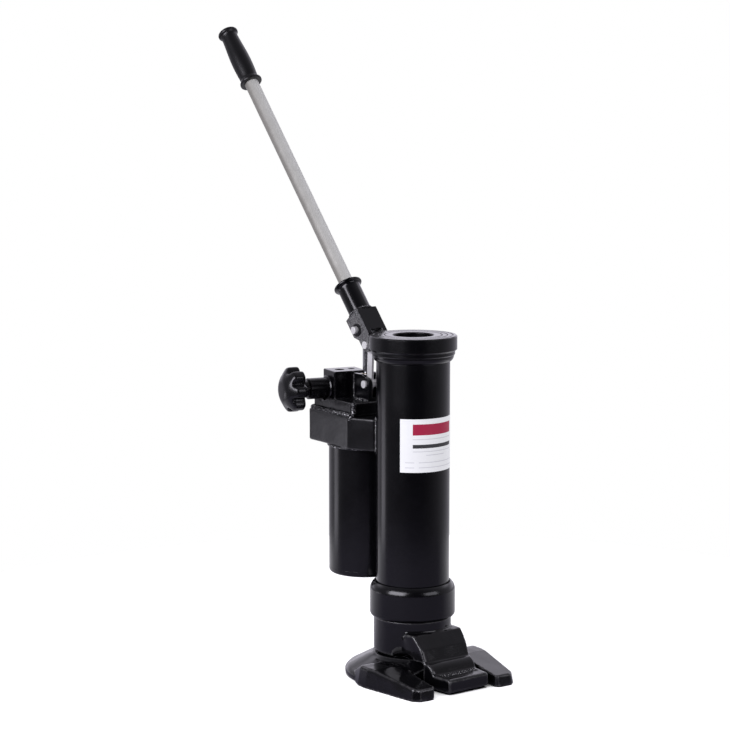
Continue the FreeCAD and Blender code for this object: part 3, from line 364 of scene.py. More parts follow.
def new_group(name, inputs, outputs):
    """A shader node group with named sockets; returns its tree, its input node and its output node."""
    tree = bpy.data.node_groups.new(name, "ShaderNodeTree")
    for label, kind, default in inputs:
        socket = tree.interface.new_socket(label, in_out="INPUT", socket_type=kind)
        if default is not None:
            socket.default_value = default
    for label, kind in outputs:
        tree.interface.new_socket(label, in_out="OUTPUT", socket_type=kind)
    return tree, tree.nodes.new("NodeGroupInput"), tree.nodes.new("NodeGroupOutput")


def group(name, maker):
    """A shared group, made the first time it is asked for."""
    return bpy.data.node_groups.get(name) or maker(name)


def paint_skin(name):
    """Orange peel, soft runs and fine dust of sprayed paint."""
    tree, start, end = new_group(name, [("Vector", VECTOR, None), ("Peel", FLOAT, 420.0)],
                                 [("Height", FLOAT), ("Dust", FLOAT), ("Cloud", FLOAT)])
    where = start.outputs["Vector"]
    peel = noise(tree, where, start.outputs["Peel"], 1.5, 0.45)
    swell = noise(tree, where, 38.0, 2.0)
    grit = spread(tree, noise(tree, where, 2600.0, 1.0), 0.66, 0.78)
    feed(tree, end.inputs["Height"], calc(tree, "ADD", calc(tree, "MULTIPLY", peel, 0.35), swell))
    patch = spread(tree, noise(tree, where, 24.0, 4.0, 0.6), 0.4, 0.72)
    feed(tree, end.inputs["Dust"], calc(tree, "MULTIPLY", grit, patch))
    feed(tree, end.inputs["Cloud"], spread(tree, noise(tree, where, 17.0, 5.0, 0.62), 0.3, 0.72))
    return tree


def cast_skin(name):
    """Lumps and sand marks of a casting under paint."""
    tree, start, end = new_group(name, [("Vector", VECTOR, None), ("Grain", FLOAT, 900.0)],
                                 [("Height", FLOAT), ("Pits", FLOAT), ("Cloud", FLOAT)])
    where = start.outputs["Vector"]
    grain = noise(tree, where, start.outputs["Grain"], 3.0, 0.6)
    lumps = noise(tree, where, 110.0, 3.0, 0.55)
    swell = noise(tree, where, 34.0, 1.0)
    both = calc(tree, "ADD", calc(tree, "MULTIPLY", grain, 0.3), calc(tree, "MULTIPLY", lumps, 0.9))
    feed(tree, end.inputs["Height"], calc(tree, "ADD", both, calc(tree, "MULTIPLY", swell, 1.6)))
    feed(tree, end.inputs["Pits"], spread(tree, noise(tree, where, 520.0, 2.0), 0.6, 0.74))
    feed(tree, end.inputs["Cloud"], spread(tree, noise(tree, where, 21.0, 4.0, 0.6), 0.32, 0.7))
    return tree


def edge_rub(name):
    """Mask of the edges that hands and loads rub, broken up by noise."""
    tree, start, end = new_group(name, [("Vector", VECTOR, None), ("Width", FLOAT, RUB_WIDE)],
                                 [("Rub", FLOAT)])
    soft = add(tree, "ShaderNodeBevel", {"Radius": start.outputs["Width"]}, samples=6)
    true = add(tree, "ShaderNodeNewGeometry")
    edge = spread(tree, dot(tree, soft.outputs[0], true.outputs["Normal"]), 0.995, 0.9)
    chips = spread(tree, noise(tree, start.outputs["Vector"], 240.0, 5.0, 0.7), 0.5, 0.66)
    feed(tree, end.inputs["Rub"], calc(tree, "MULTIPLY", edge, chips))
    return tree


def turned_lines(name):
    """Fine tool lines along one axis of the piece, uneven in depth."""
    tree, start, end = new_group(name, [("Along", FLOAT, 0.0), ("Vector", VECTOR, None)],
                                 [("Height", FLOAT), ("Shade", FLOAT)])
    along = start.outputs["Along"]
    point = add(tree, "ShaderNodeCombineXYZ", {"X": along}).outputs[0]
    fine = noise(tree, point, 5200.0, 3.0, 0.7)
    feed(tree, end.inputs["Height"], fine)
    smear = noise(tree, start.outputs["Vector"], 60.0, 4.0, 0.6)
    both = calc(tree, "ADD", calc(tree, "MULTIPLY", fine, 0.5), smear)
    feed(tree, end.inputs["Shade"], spread(tree, both, 0.5, 1.0))
    return tree


class Finish:
    """A material under way: its tree, shader and the piece's own coordinates."""

    def __init__(self, name):
        self.material = bpy.data.materials.new(name + "_finish")
        self.material.use_nodes = True
        self.tree = self.material.node_tree
        self.tree.nodes.clear()
        self.shader = self.tree.nodes.new("ShaderNodeBsdfPrincipled")
        self.out = self.tree.nodes.new("ShaderNodeOutputMaterial")
        self.tree.links.new(self.shader.outputs[0], self.out.inputs[0])
        self.where = add(self.tree, "ShaderNodeTexCoord").outputs["Object"]

    def use(self, name, maker, **values):
        """A shared group in this material; returns its outputs."""
        node = self.tree.nodes.new("ShaderNodeGroup")
        node.node_tree = group(name, maker)
        for key, value in {"Vector": self.where, **values}.items():
            feed(self.tree, node.inputs[key], value)
        return node.outputs

    def set(self, **values):
        """Feed the shader's inputs, with an underscore for each space in their names."""
        for key, value in values.items():
            feed(self.tree, self.shader.inputs[key.replace("_", " ")], value)

    def bump(self, height, deep, strength=1.0, soft=0.0):
        """Raise the surface by a height map, over edges softened by a small round."""
        values = {"Height": height, "Distance": deep, "Strength": strength}
        if soft:
            values["Normal"] = add(self.tree, "ShaderNodeBevel", {"Radius": soft}, samples=6).outputs[0]
        node = add(self.tree, "ShaderNodeBump", values)
        self.set(Normal=node.outputs[0])


def gloss_paint(name, colour):
    """Sprayed black paint on machined steel."""
    f = Finish(name)
    skin = f.use("Paint skin", paint_skin)
    rub = f.use("Edge rub", edge_rub)
    tone = blend(f.tree, skin["Cloud"], rgba(colour), rgba([c * 1.5 for c in colour]))
    dusty = blend(f.tree, calc(f.tree, "MULTIPLY", skin["Dust"], 0.3), tone, PAINT_DUST)
    worn = blend(f.tree, calc(f.tree, "MULTIPLY", rub["Rub"], 0.1), dusty, PAINT_WORN)
    rough = slide(f.tree, skin["Cloud"], 0.16, 0.22)
    dull = calc(f.tree, "MULTIPLY", skin["Dust"], 0.25)
    f.set(Base_Color=worn, Roughness=calc(f.tree, "ADD", rough, dull))
    f.bump(skin["Height"], 0.10 * MM, 0.7, PAINT_ROUND)
    return f.material


def cast_paint(name, colour, low, high, bare_and_sheen):
    """Paint over a sand casting, pale along the ridges that the mesh marks: thin paint there, and a painted
    highlight for the light that the edges catch.
    """
    f = Finish(name)
    skin = f.use("Cast skin", cast_skin)
    tone = blend(f.tree, skin["Cloud"], rgba(colour), rgba([c * 1.6 for c in colour]))
    pits = calc(f.tree, "MULTIPLY", skin["Pits"], 0.5)
    pitted = blend(f.tree, pits, tone, rgba([c * 0.5 for c in colour]))
    # Pale along the ridges: thin paint, and a painted highlight for the light that the edges catch.
    ridge = add(f.tree, "ShaderNodeAttribute", attribute_name="ridge").outputs["Fac"]
    broken = spread(f.tree, noise(f.tree, f.where, 150.0, 4.0, 0.65), 0.34, 0.6, 0.25, 1.0)
    rub = calc(f.tree, "MULTIPLY", ridge, broken)
    worn = blend(f.tree, rub, pitted, (bare_and_sheen, bare_and_sheen, bare_and_sheen, 1))
    f.set(Base_Color=worn, Roughness=slide(f.tree, skin["Cloud"], low, high))
    chips = calc(f.tree, "MULTIPLY", ridge, noise(f.tree, f.where, 700.0, 2.0))
    f.bump(calc(f.tree, "ADD", skin["Height"], calc(f.tree, "MULTIPLY", chips, 9.0)), 0.035 * MM)
    return f.material


def weld_paint(name, colour):
    """Paint over a weld bead, with bare specks on its ripples."""
    f = Finish(name)
    skin = f.use("Cast skin", cast_skin)
    specks = spread(f.tree, noise(f.tree, f.where, 640.0, 2.0, 0.6), 0.56, 0.63)
    tone = blend(f.tree, skin["Cloud"], rgba(colour), rgba([c * 1.6 for c in colour]))
    f.set(Base_Color=blend(f.tree, specks, tone, BEAD_SPECK),
          Metallic=calc(f.tree, "MULTIPLY", specks, 0.6),
          Roughness=slide(f.tree, skin["Cloud"], 0.14, 0.24))
    f.bump(calc(f.tree, "ADD", skin["Height"], specks), 0.16 * MM)
    return f.material


def plate_paint(name, colour):
    """Paint on cut plate: glossy over the edges, thin, grainy and greyer on the two flat sides, the grey
    being partly painted sheen.
    """
    f = Finish(name)
    skin = f.use("Paint skin", paint_skin)
    normal = add(f.tree, "ShaderNodeNewGeometry").outputs["Normal"]
    facing = add(f.tree, "ShaderNodeSeparateXYZ", {0: normal})
    # The flat sides turn grey: bare grain under thin paint, and painted sheen for the light that they
    # catch.
    flat = spread(f.tree, calc(f.tree, "ABSOLUTE", facing.outputs["X"]), 0.88, 0.95)
    grain = spread(f.tree, noise(f.tree, f.where, 850.0, 3.0, 0.7), 0.42, 0.64)
    bare_and_sheen = calc(f.tree, "MULTIPLY", flat, grain)
    f.set(Base_Color=blend(f.tree, bare_and_sheen, rgba(colour), PLATE_BARE_AND_SHEEN),
          Roughness=slide(f.tree, flat, 0.18, 0.42))
    f.bump(calc(f.tree, "ADD", skin["Height"], bare_and_sheen), 0.10 * MM, 0.7, PAINT_ROUND)
    return f.material


def plated(name, colour, low, high, axis="Z", metal=1.0):
    """Turned, ground or drawn metal with lines along one axis."""
    f = Finish(name)
    apart = add(f.tree, "ShaderNodeSeparateXYZ", {0: f.where})
    lines = f.use("Turned lines", turned_lines, Along=apart.outputs[axis])
    tone = blend(f.tree, lines["Shade"], rgba([c * 0.82 for c in colour]), rgba(colour))
    f.set(Base_Color=tone, Metallic=metal, Roughness=slide(f.tree, lines["Shade"], high, low))
    f.bump(lines["Height"], 0.02 * MM, 0.6, METAL_ROUND)
    return f.material


def drawn_tube(name, colour, painted_shade):
    """Satin drawn tube, darker along its left flank as painted shade for the dark side it mirrors, fading
    out towards the right.
    """
    f = Finish(name)
    across = add(f.tree, "ShaderNodeSeparateXYZ", {0: f.where}).outputs["X"]
    lines = f.use("Turned lines", turned_lines, Along=across)
    smear = calc(f.tree, "MULTIPLY", calc(f.tree, "SUBTRACT", lines["Shade"], 0.5), PAINTED_SHADE_SMEAR)
    # Painted shade: the tone goes from the shaded colour at the left flank to the lit colour towards the
    # right.
    shaded_flank = spread(f.tree, calc(f.tree, "ADD", across, smear), PAINTED_SHADE_FULL, PAINTED_SHADE_GONE, 1.0, 0.0)
    f.set(Base_Color=blend(f.tree, shaded_flank, rgba(colour), rgba(painted_shade)), Metallic=0.3,
          Roughness=slide(f.tree, lines["Shade"], 0.62, 0.54))
    f.bump(lines["Height"], 0.003 * MM, 0.6, METAL_ROUND)
    return f.material


def moulded(name, colour, rough, grain, deep):
    """Moulded plastic or rubber with a fine skin."""
    f = Finish(name)
    skin = f.use("Paint skin", paint_skin, Peel=grain)
    tone = blend(f.tree, skin["Cloud"], rgba(colour), rgba([c * 1.35 for c in colour]))
    dusty = blend(f.tree, calc(f.tree, "MULTIPLY", skin["Dust"], 0.2), tone, PLASTIC_DUST)
    f.set(Base_Color=dusty, Roughness=slide(f.tree, skin["Cloud"], rough, rough + 0.1))
    f.bump(skin["Height"], deep, 0.6, PAINT_ROUND)
    return f.material


def between(tree, value, low, high):
    """One where a value lies in a range, else nought."""
    above = calc(tree, "GREATER_THAN", value, low)
    return calc(tree, "MULTIPLY", above, calc(tree, "LESS_THAN", value, high))


def sticker(name, film, band):
    """White film with a wide band, a dark bar and thin rules, laid out by angle and height; it glows with
    its own colours as painted light.
    """
    f = Finish(name)
    tree = f.tree
    skin = f.use("Paint skin", paint_skin, Peel=700.0)
    apart = add(tree, "ShaderNodeSeparateXYZ", {0: f.where})
    angle = calc(tree, "ARCTAN2", apart.outputs["X"], calc(tree, "MULTIPLY", apart.outputs["Y"], -1.0))
    across = calc(tree, "DIVIDE", angle, STICKER_HALF_ARC)
    up = calc(tree, "DIVIDE", calc(tree, "SUBTRACT", apart.outputs["Z"], STICKER_FOOT), STICKER_TALL)
    tone = blend(tree, skin["Cloud"], rgba(film), rgba([c * 0.94 for c in film]))
    for left, right, low, high, ink in ((*STICKER_BAND, rgba(band)), *STICKER_MARKS):
        mask = calc(tree, "MULTIPLY", between(tree, across, left, right), between(tree, up, low, high))
        tone = blend(tree, mask, tone, ink)
    # The film glows with its own tone: painted light that stands in for the light falling on it.
    f.set(Base_Color=tone, Roughness=slide(tree, skin["Cloud"], 0.38, 0.5),
          Emission_Color=tone, Emission_Strength=1.0)
    f.bump(skin["Height"], 0.03 * MM, 0.5)
    return f.material


def make_finishes():
    """One material for each slot, and three more for the pump block, the lever bracket and the beads."""
    c = colours()
    return {
        "cast_black": cast_paint("cast_black", c.foot, 0.1, 0.17, 0.06),
        "block_black": cast_paint("block_black", c.block, 0.22, 0.28, 0.03),
        "black_paint": gloss_paint("black_paint", c.paint),
        "plate_black": plate_paint("plate_black", c.paint),
        "weld_black": weld_paint("weld_black", c.block),
        "chrome": plated("chrome", CHROME, 0.09, 0.17),
        "bare_steel": plated("bare_steel", STEEL, 0.26, 0.4),
        "zinc_steel": plated("zinc_steel", ZINC, 0.16, 0.26, "X", 0.4),
        "dark_steel": plated("dark_steel", DARK_STEEL, 0.3, 0.42, "X", 0.85),
        "satin_steel": drawn_tube("satin_steel", TUBE_LIT_STEEL, TUBE_PAINTED_SHADE),
        "brass": plated("brass", BRASS, 0.34, 0.46),
        "seal_rubber": moulded("seal_rubber", RUBBER, 0.5, 900.0, 0.03 * MM),
        "guide_plastic": moulded("guide_plastic", GUIDE_PLASTIC, 0.45, 900.0, 0.03 * MM),
        "knob_plastic": moulded("knob_plastic", c.moulded, 0.2, 800.0, 0.03 * MM),
        "grip_plastic": moulded("grip_plastic", c.moulded, 0.32, 1100.0, 0.06 * MM),
        "white_film": sticker("white_film", c.film, c.band),
    }


class JACK_OT_finishes(bpy.types.Operator):
    """Give every solid the finish of its slot"""
    bl_idname = "jack.finishes"
    bl_label = "Finishes"

    def execute(self, context):
        finishes = make_finishes()
        for part in frame["record"]["subparts"]:
            mesh = frame["nodes"][part["node"]].data
            mesh.materials.clear()
            mesh.materials.append(finishes[OWN_FINISH.get(part["node"], part["material_slot"])])
        return {"FINISHED"}


def new_piece(name, mesh, body, slot_name, finish=None):
    """A finished piece: smooth, at the origin, riding on its body and with its slot's finish."""
    piece = bpy.data.objects.new(name, mesh)
    bpy.context.scene.collection.objects.link(piece)
    mesh.materials.clear()
    mesh.materials.append(bpy.data.materials[(finish or slot_name) + "_finish"])
    mesh.shade_smooth()
    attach(piece, body)
    return piece


def baked(piece):
    """The piece's mesh with its modifiers worked in."""
    graph = bpy.context.evaluated_depsgraph_get()
    mesh = bpy.data.meshes.new_from_object(piece.evaluated_get(graph))
    bpy.data.objects.remove(piece)
    return mesh


def wander(point, reach):
    """Slow unevenness of a sand casting, the same at every run."""
    slow = mathnoise.noise(point * SLOW_WAVES)
    quick = mathnoise.noise(point * QUICK_WAVES + QUICK_SHIFT)
    return reach * (slow + QUICK_SHARE * quick)


class Skin:
    """A mesh's points as arrays, for smoothing and for finding its ridges."""

    def __init__(self, mesh):
        self.mesh = mesh
        count = len(mesh.vertices)
        self.spots = np.zeros(count * 3)
        mesh.vertices.foreach_get("co", self.spots)
        self.spots = self.spots.reshape(-1, 3)
        self.edges = np.zeros(len(mesh.edges) * 2, dtype=np.int64)
        mesh.edges.foreach_get("vertices", self.edges)
        self.edges = self.edges.reshape(-1, 2)
        self.links = np.bincount(self.edges.ravel(), minlength=count).reshape(-1, 1)

    def around(self, values):
        """The mean of the neighbours' values at each point."""
        total = np.zeros_like(values)
        np.add.at(total, self.edges[:, 0], values[self.edges[:, 1]])
        np.add.at(total, self.edges[:, 1], values[self.edges[:, 0]])
        return total / self.links

    def smooth(self, weight, rounds):
        """Even out the points that have a weight, their neighbours staying where they are."""
        acting = self.edges[(weight[self.edges] > 0.0).any(axis=1)]
        ids, ends = np.unique(acting, return_inverse=True)
        ends = ends.reshape(-1, 2)
        here = np.concatenate((ends[:, 0], ends[:, 1]))
        there = np.concatenate((ends[:, 1], ends[:, 0]))
        links = np.bincount(here, minlength=len(ids))
        spots = self.spots[ids]
        share = 0.5 * weight[ids]
        for _ in range(rounds):
            mean = [np.bincount(here, spots[there, axis], len(ids)) / links for axis in range(3)]
            spots += (np.stack(mean, axis=1) - spots) * share[:, None]
        self.spots[ids] = spots
        self.mesh.vertices.foreach_set("co", self.spots.ravel())
        self.mesh.update()

    def ridges(self, reach):
        """How sharply each point stands out, from nought to one."""
        normals = np.zeros(self.spots.size)
        self.mesh.vertex_normals.foreach_get("vector", normals)
        sunk = self.spots - self.around(self.spots)
        height = np.einsum("ij,ij->i", sunk, normals.reshape(-1, 3))[:, None]
        share = self.around(height).ravel() / reach
        return np.clip((share - RIDGE_FLOOR) / (1.0 - RIDGE_FLOOR), 0.0, 1.0)

    def mark(self, name, values):
        """Keep a value at each point, for the finish to read."""
        self.mesh.attributes.new(name, "FLOAT", "POINT").data.foreach_set("value", values)


def root_weight(spots):
    """Where the toe grows out of its sleeve: one at the upright corner on either side, fading around it."""
    apart = np.hypot(np.abs(spots[:, 0]) - TOE_ROOT[0], spots[:, 1] - TOE_ROOT[1])
    near = np.clip(2.0 - 2.0 * apart / TOE_ROOT_FADE, 0.0, 1.0)
    return near * np.clip((TOE_TOP - TOE_TOP_KEEP - spots[:, 2]) / TOE_TOP_FADE, 0.0, 1.0)


def cast_mesh(node, rounds, clear, root):
    """A casting's mesh from its solid: even faces, rounded edges and an uneven skin; bores stay clear."""
    source = bmesh.new()
    source.from_mesh(frame["nodes"][node].data)
    bmesh.ops.remove_doubles(source, verts=source.verts, dist=JOIN_GAP)
    mesh = bpy.data.meshes.new(node + "_blank")
    source.to_mesh(mesh)
    source.free()
    blank = bpy.data.objects.new(node + "_blank", mesh)
    bpy.context.scene.collection.objects.link(blank)
    even = blank.modifiers.new("even", "REMESH")
    even.mode = "VOXEL"
    even.voxel_size = sizes().grain
    mesh = baked(blank)
    skin = Skin(mesh)
    skin.smooth(np.ones(len(skin.spots)), rounds)
    if root:
        skin.smooth(root_weight(skin.spots), TOE_ROOT_ROUNDS)
    skin.mark("ridge", skin.ridges(RIDGE))
    low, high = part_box(node)
    for vertex, normal in zip(mesh.vertices, [v.normal.copy() for v in mesh.vertices]):
        spot = vertex.co + normal * wander(vertex.co, sizes().unevenness)
        across = math.hypot(spot.x, spot.y)
        if clear and across < clear[0] + BORE_SKIN and spot.z > clear[1]:
            spot.x *= clear[0] / across
            spot.y *= clear[0] / across
        for axis in range(3):
            spot[axis] = min(max(spot[axis], low[axis]), high[axis])
        if root and spot.z > high.z - SLEEVE_RIM:
            spot.z += SLEEVE_RAISE
        vertex.co = spot
    return mesh


class JACK_OT_castings(bpy.types.Operator):
    """Make the foot, the toe, the pump block and its deck with the round edges and skin of castings"""
    bl_idname = "jack.castings"
    bl_label = "Castings"

    def execute(self, context):
        for node, body, finish, rounds, clear in CASTINGS:
            mesh = cast_mesh(node, rounds, clear, node == "lifting_toe")
            piece = new_piece(node + "_casting", mesh, body, "cast_black", finish)
            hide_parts(node)
        return {"FINISHED"}


def knob_ring(out, radius, lobed):
    """One ring of the knob: distance out, radius, and how much the lobes show."""
    spots = []
    for n in range(KNOB_STEPS):
        angle = FULL_TURN * n / KNOB_STEPS
        wave = 0.5 - 0.5 * math.cos(KNOB_LOBES * angle)
        reach = radius - lobed * sizes().notch * wave ** KNOB_NOTCH_POWER
        spots.append((out, reach * math.cos(angle), reach * math.sin(angle)))
    return spots


def lathe(shape, rings):
    """Faces between rings of equal length, closed with a point at both ends."""
    rows = [[shape.verts.new(spot) for spot in ring] for ring in rings]
    for before, after in zip(rows, rows[1:]):
        for n in range(len(before)):
            k = (n + 1) % len(before)
            shape.faces.new((before[n], before[k], after[k], after[n]))
    for row, flip in ((rows[0], True), (rows[-1], False)):
        middle = sum((v.co for v in row), Vector()) / len(row)
        tip = shape.verts.new(middle)
        for n in range(len(row)):
            k = (n + 1) % len(row)
            shape.faces.new((row[k], row[n], tip) if flip else (row[n], row[k], tip))
    bmesh.ops.recalc_face_normals(shape, faces=shape.faces)


def rounded_piece(name, shape, body, slot_name):
    """A piece from a worked shape, with its facets rounded off."""
    mesh = bpy.data.meshes.new(name)
    shape.to_mesh(mesh)
    shape.free()
    piece = new_piece(name, mesh, body, slot_name)
    smooth = piece.modifiers.new("smooth", "SUBSURF")
    smooth.levels = 1
    smooth.render_levels = 1
    return piece


class JACK_OT_star_knob(bpy.types.Operator):
    """Make the moulded star knob with its domed face"""
    bl_idname = "jack.star_knob"
    bl_label = "Star knob"

    def execute(self, context):
        scale = sizes().lobe / KNOB_DRAWN
        shape = bmesh.new()
        lathe(shape, [knob_ring(out * MM, wide * MM * scale, lobed) for out, wide, lobed in KNOB_RINGS])
        side = Vector((-KNOB_OUT.y, KNOB_OUT.x, 0.0))
        turn = Matrix((KNOB_OUT, side, KNOB_OUT.cross(side))).transposed().to_4x4()
        shape.transform(Matrix.Translation(KNOB_SPOT) @ turn)
        piece = rounded_piece("star_knob_moulded", shape, "knob", "knob_plastic")
        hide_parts("star_knob")
        return {"FINISHED"}


def bead_tree():
    """Geometry nodes that sweep a rippled weld bead along a path, whose points carry its half width."""
    tree = bpy.data.node_groups.new("Weld bead", "GeometryNodeTree")
    tree.is_modifier = True
    for label, kind in (("Path", "NodeSocketGeometry"), ("Pitch", FLOAT), ("Ripple", FLOAT),
                        ("Waver", FLOAT), ("Finish", "NodeSocketMaterial")):
        tree.interface.new_socket(label, in_out="INPUT", socket_type=kind)
    tree.interface.new_socket("Bead", in_out="OUTPUT", socket_type="NodeSocketGeometry")
    start = tree.nodes.new("NodeGroupInput").outputs
    end = tree.nodes.new("NodeGroupOutput")
    path = add(tree, "GeometryNodeMeshToCurve", {"Mesh": start["Path"]})
    step = calc(tree, "DIVIDE", start["Pitch"], BEAD_STEPS)
    even = add(tree, "GeometryNodeResampleCurve", {"Curve": path.outputs[0], "Length": step}, mode="LENGTH")
    wide = add(tree, "GeometryNodeInputNamedAttribute", {"Name": "half_width"}, data_type="FLOAT")
    run = add(tree, "GeometryNodeSplineParameter").outputs["Length"]
    saw = calc(tree, "FRACT", calc(tree, "DIVIDE", run, start["Pitch"]))
    hump = calc(tree, "SINE", calc(tree, "MULTIPLY", saw, math.pi))
    place = add(tree, "GeometryNodeInputPosition").outputs[0]
    drift = add(tree, "ShaderNodeTexNoise", {"Vector": place, "Scale": BEAD_LUMPS, "Detail": 2.0})
    lump = calc(tree, "MULTIPLY_ADD", drift.outputs["Fac"], 0.7, 0.62)
    swell = calc(tree, "MULTIPLY_ADD", hump, start["Ripple"], lump)
    radius = calc(tree, "MULTIPLY", wide.outputs["Attribute"], swell)
    off = add(tree, "ShaderNodeVectorMath", {0: drift.outputs["Color"], 1: (0.5, 0.5, 0.5)},
              operation="SUBTRACT")
    shift = add(tree, "ShaderNodeVectorMath", {0: off.outputs[0], "Scale": start["Waver"]},
                operation="SCALE")
    line = add(tree, "GeometryNodeSetPosition", {"Geometry": even.outputs[0], "Offset": shift.outputs[0]})
    ring = add(tree, "GeometryNodeCurvePrimitiveCircle", {"Resolution": BEAD_SIDES, "Radius": 1.0})
    sweep = add(tree, "GeometryNodeCurveToMesh", {
        "Curve": line.outputs[0], "Profile Curve": ring.outputs[0], "Scale": radius, "Fill Caps": True})
    smooth = add(tree, "GeometryNodeSetShadeSmooth", {"Geometry": sweep.outputs[0]})
    real = add(tree, "GeometryNodeRealizeInstances", {"Geometry": smooth.outputs[0]})
    done = add(tree, "GeometryNodeSetMaterial", {"Geometry": real.outputs[0], "Material": start["Finish"]})
    tree.links.new(done.outputs[0], end.inputs[0])
    return tree


def arc(centre, radius, first, last, height, steps=48):
    """Points along a level arc, angles in degrees from +X."""
    spots = []
    for n in range(steps + 1):
        angle = math.radians(first + (last - first) * n / steps)
        spots.append((centre[0] + radius * math.cos(angle), centre[1] + radius * math.sin(angle), height))
    return spots


def both_sides(out, profile):
    """A path of depths and heights at a distance to the left, and its mirror on the right."""
    return [[(x, y, z) for y, z in profile] for x in (-out, out)]


def lever_ring(along, radius):
    """Points of a closed ring round the lever, at a distance along it."""
    spots = []
    for n in range(LEVER_SIDES + 1):
        angle = FULL_TURN * n / LEVER_SIDES
        local = Vector((radius * math.cos(angle), radius * math.sin(angle), along))
        spots.append(FULCRUM + Matrix.Rotation(-LEVER_LEAN, 3, "X") @ local)
    return spots


def weld(name, body, paths):
    """Sweep one mesh of beads along paths of points in millimetres, each with its half width."""
    tree = bpy.data.node_groups.get("Weld bead") or bead_tree()
    mesh = bpy.data.meshes.new(name + "_paths")
    spots, edges, widths = [], [], []
    for wide, points in paths:
        first = len(spots)
        spots += [Vector(point) * MM for point in points]
        widths += [wide * MM] * len(points)
        edges += [(n, n + 1) for n in range(first, len(spots) - 1)]
    mesh.from_pydata(spots, edges, [])
    mesh.attributes.new("half_width", "FLOAT", "POINT").data.foreach_set("value", widths)
    blank = bpy.data.objects.new(name + "_paths", mesh)
    bpy.context.scene.collection.objects.link(blank)
    sweep = blank.modifiers.new("bead", "NODES")
    sweep.node_group = tree
    values = {"Pitch": sizes().ripple, "Ripple": BEAD_RIPPLE, "Waver": BEAD_WAVER,
              "Finish": bpy.data.materials["weld_black_finish"]}
    for item in tree.interface.items_tree:
        if item.in_out == "INPUT" and item.name in values:
            sweep[item.identifier] = values[item.name]
    mesh = baked(blank)
    if not mesh.polygons:
        raise RuntimeError("the weld beads came out empty")
    return new_piece(name, mesh, body, "black_paint", "weld_black")


class JACK_OT_lever_ends(bpy.types.Operator):
    """Make the moulded hand grip with its belly, and the socket that holds the lever"""
    bl_idname = "jack.lever_ends"
    bl_label = "Lever ends"

    def execute(self, context):
        for node, slot_name, rings in (("hand_grip", "grip_plastic", GRIP_RINGS),
                                       ("lever_socket", "black_paint", SOCKET_RINGS)):
            shape = bmesh.new()
            lathe(shape, [[spot * MM for spot in lever_ring(along, radius)[:-1]]
                          for along, radius in rings])
            piece = rounded_piece(node + "_round", shape, "lever", slot_name)
            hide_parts(node)
        return {"FINISHED"}


class JACK_OT_welds(bpy.types.Operator):
    """Lay the beads of pump block, deck, tank, clevis and lever socket, and the ridges across the lip"""
    bl_idname = "jack.welds"
    bl_label = "Weld beads"

    def execute(self, context):
        deck = [(x, y, DECK_SEAM_UP) for x, y in DECK_EDGE]
        deck += [(-x, y, z) for x, y, z in reversed(deck)]
        weld("body_welds", "cylinder", [
            (DECK_BEAD, deck), (CORNER_BEAD, CORNER_PATH),
            (CORNER_BEAD, [(-x, y, z) for x, y, z in CORNER_PATH]),
            *[(TUBE_BEAD, arc((0.0, 0.0), TUBE_SEAM_RADIUS, *TUBE_SEAM_TURN, up)) for up in TUBE_SEAMS_UP],
            (TANK_BEAD, arc(TANK_MIDDLE, TANK_SEAM_RADIUS, 0.0, 360.0, TANK_SEAM_UP, TANK_SEAM_STEPS)),
            *[(SEAM_BEAD, seam) for seam in both_sides(BLOCK_SEAM_OUT, BLOCK_SEAM)],
            *[(SEAM_BEAD, foot) for foot in both_sides(CLEVIS_FOOT_OUT, CLEVIS_FOOT)],
            *[(CLEVIS_BEAD, edge) for edge in both_sides(CLEVIS_EDGE_OUT, CLEVIS_EDGE)]])
        weld("lip_ridges", "cylinder", [
            (LIP_RIDGE, [(x, y, LIP_RIDGE_UP) for x in (-LIP_RIDGE_OUT, 0.0, LIP_RIDGE_OUT)])
            for y in LIP_RIDGES_AT])
        weld("lever_weld", "lever", [(LEVER_BEAD, lever_ring(LEVER_BEAD_ALONG, LEVER_BEAD_RADIUS))])
        return {"FINISHED"}


def toward_camera():
    """Level direction from the jack to the camera."""
    return Vector((math.sin(CAMERA_TURN), -math.cos(CAMERA_TURN), 0.0))


def right_of_camera():
    """Level direction to the camera's right."""
    return Vector((math.cos(CAMERA_TURN), math.sin(CAMERA_TURN), 0.0))


def make_camera():
    """Camera at the place and lens that the view was measured to have."""
    data = bpy.data.cameras.new("studio_camera")
    data.sensor_fit = "HORIZONTAL"
    data.sensor_width = SENSOR
    data.lens = SENSOR * FOCAL_PIXELS / IMAGE_WIDE
    camera = bpy.data.objects.new("studio_camera", data)
    bpy.context.scene.collection.objects.link(camera)
    yaw = math.atan((AXIS_PIXEL - IMAGE_WIDE / 2) / FOCAL_PIXELS)
    level = -toward_camera() * math.cos(yaw) - right_of_camera() * math.sin(yaw)
    ahead = level * math.cos(CAMERA_DOWN) - UP * math.sin(CAMERA_DOWN)
    spot = toward_camera() * CAMERA_AWAY + UP * CAMERA_UP
    camera.matrix_world = Matrix.Translation(spot) @ ahead.to_track_quat("-Z", "Y").to_matrix().to_4x4()
    bpy.context.scene.camera = camera


def soft_box(name, spot, wide, tall, power):
    """A soft area light that faces the middle of the jack."""
    data = bpy.data.lights.new(name, "AREA")
    data.shape = "RECTANGLE"
    data.size = wide
    data.size_y = tall
    data.energy = power
    data.color = LIGHT_COLOUR
    light = bpy.data.objects.new(name, data)
    bpy.context.scene.collection.objects.link(light)
    aim = LIGHT_AIM - spot
    light.matrix_world = Matrix.Translation(spot) @ aim.to_track_quat("-Z", "Y").to_matrix().to_4x4()


def wall_of_light(tree, height, rise, fade, bright):
    """A level band of light that comes up over one range of heights and fades out over another."""
    return calc(tree, "MULTIPLY", spread(tree, height, *rise), spread(tree, height, *fade, 0.0, bright))


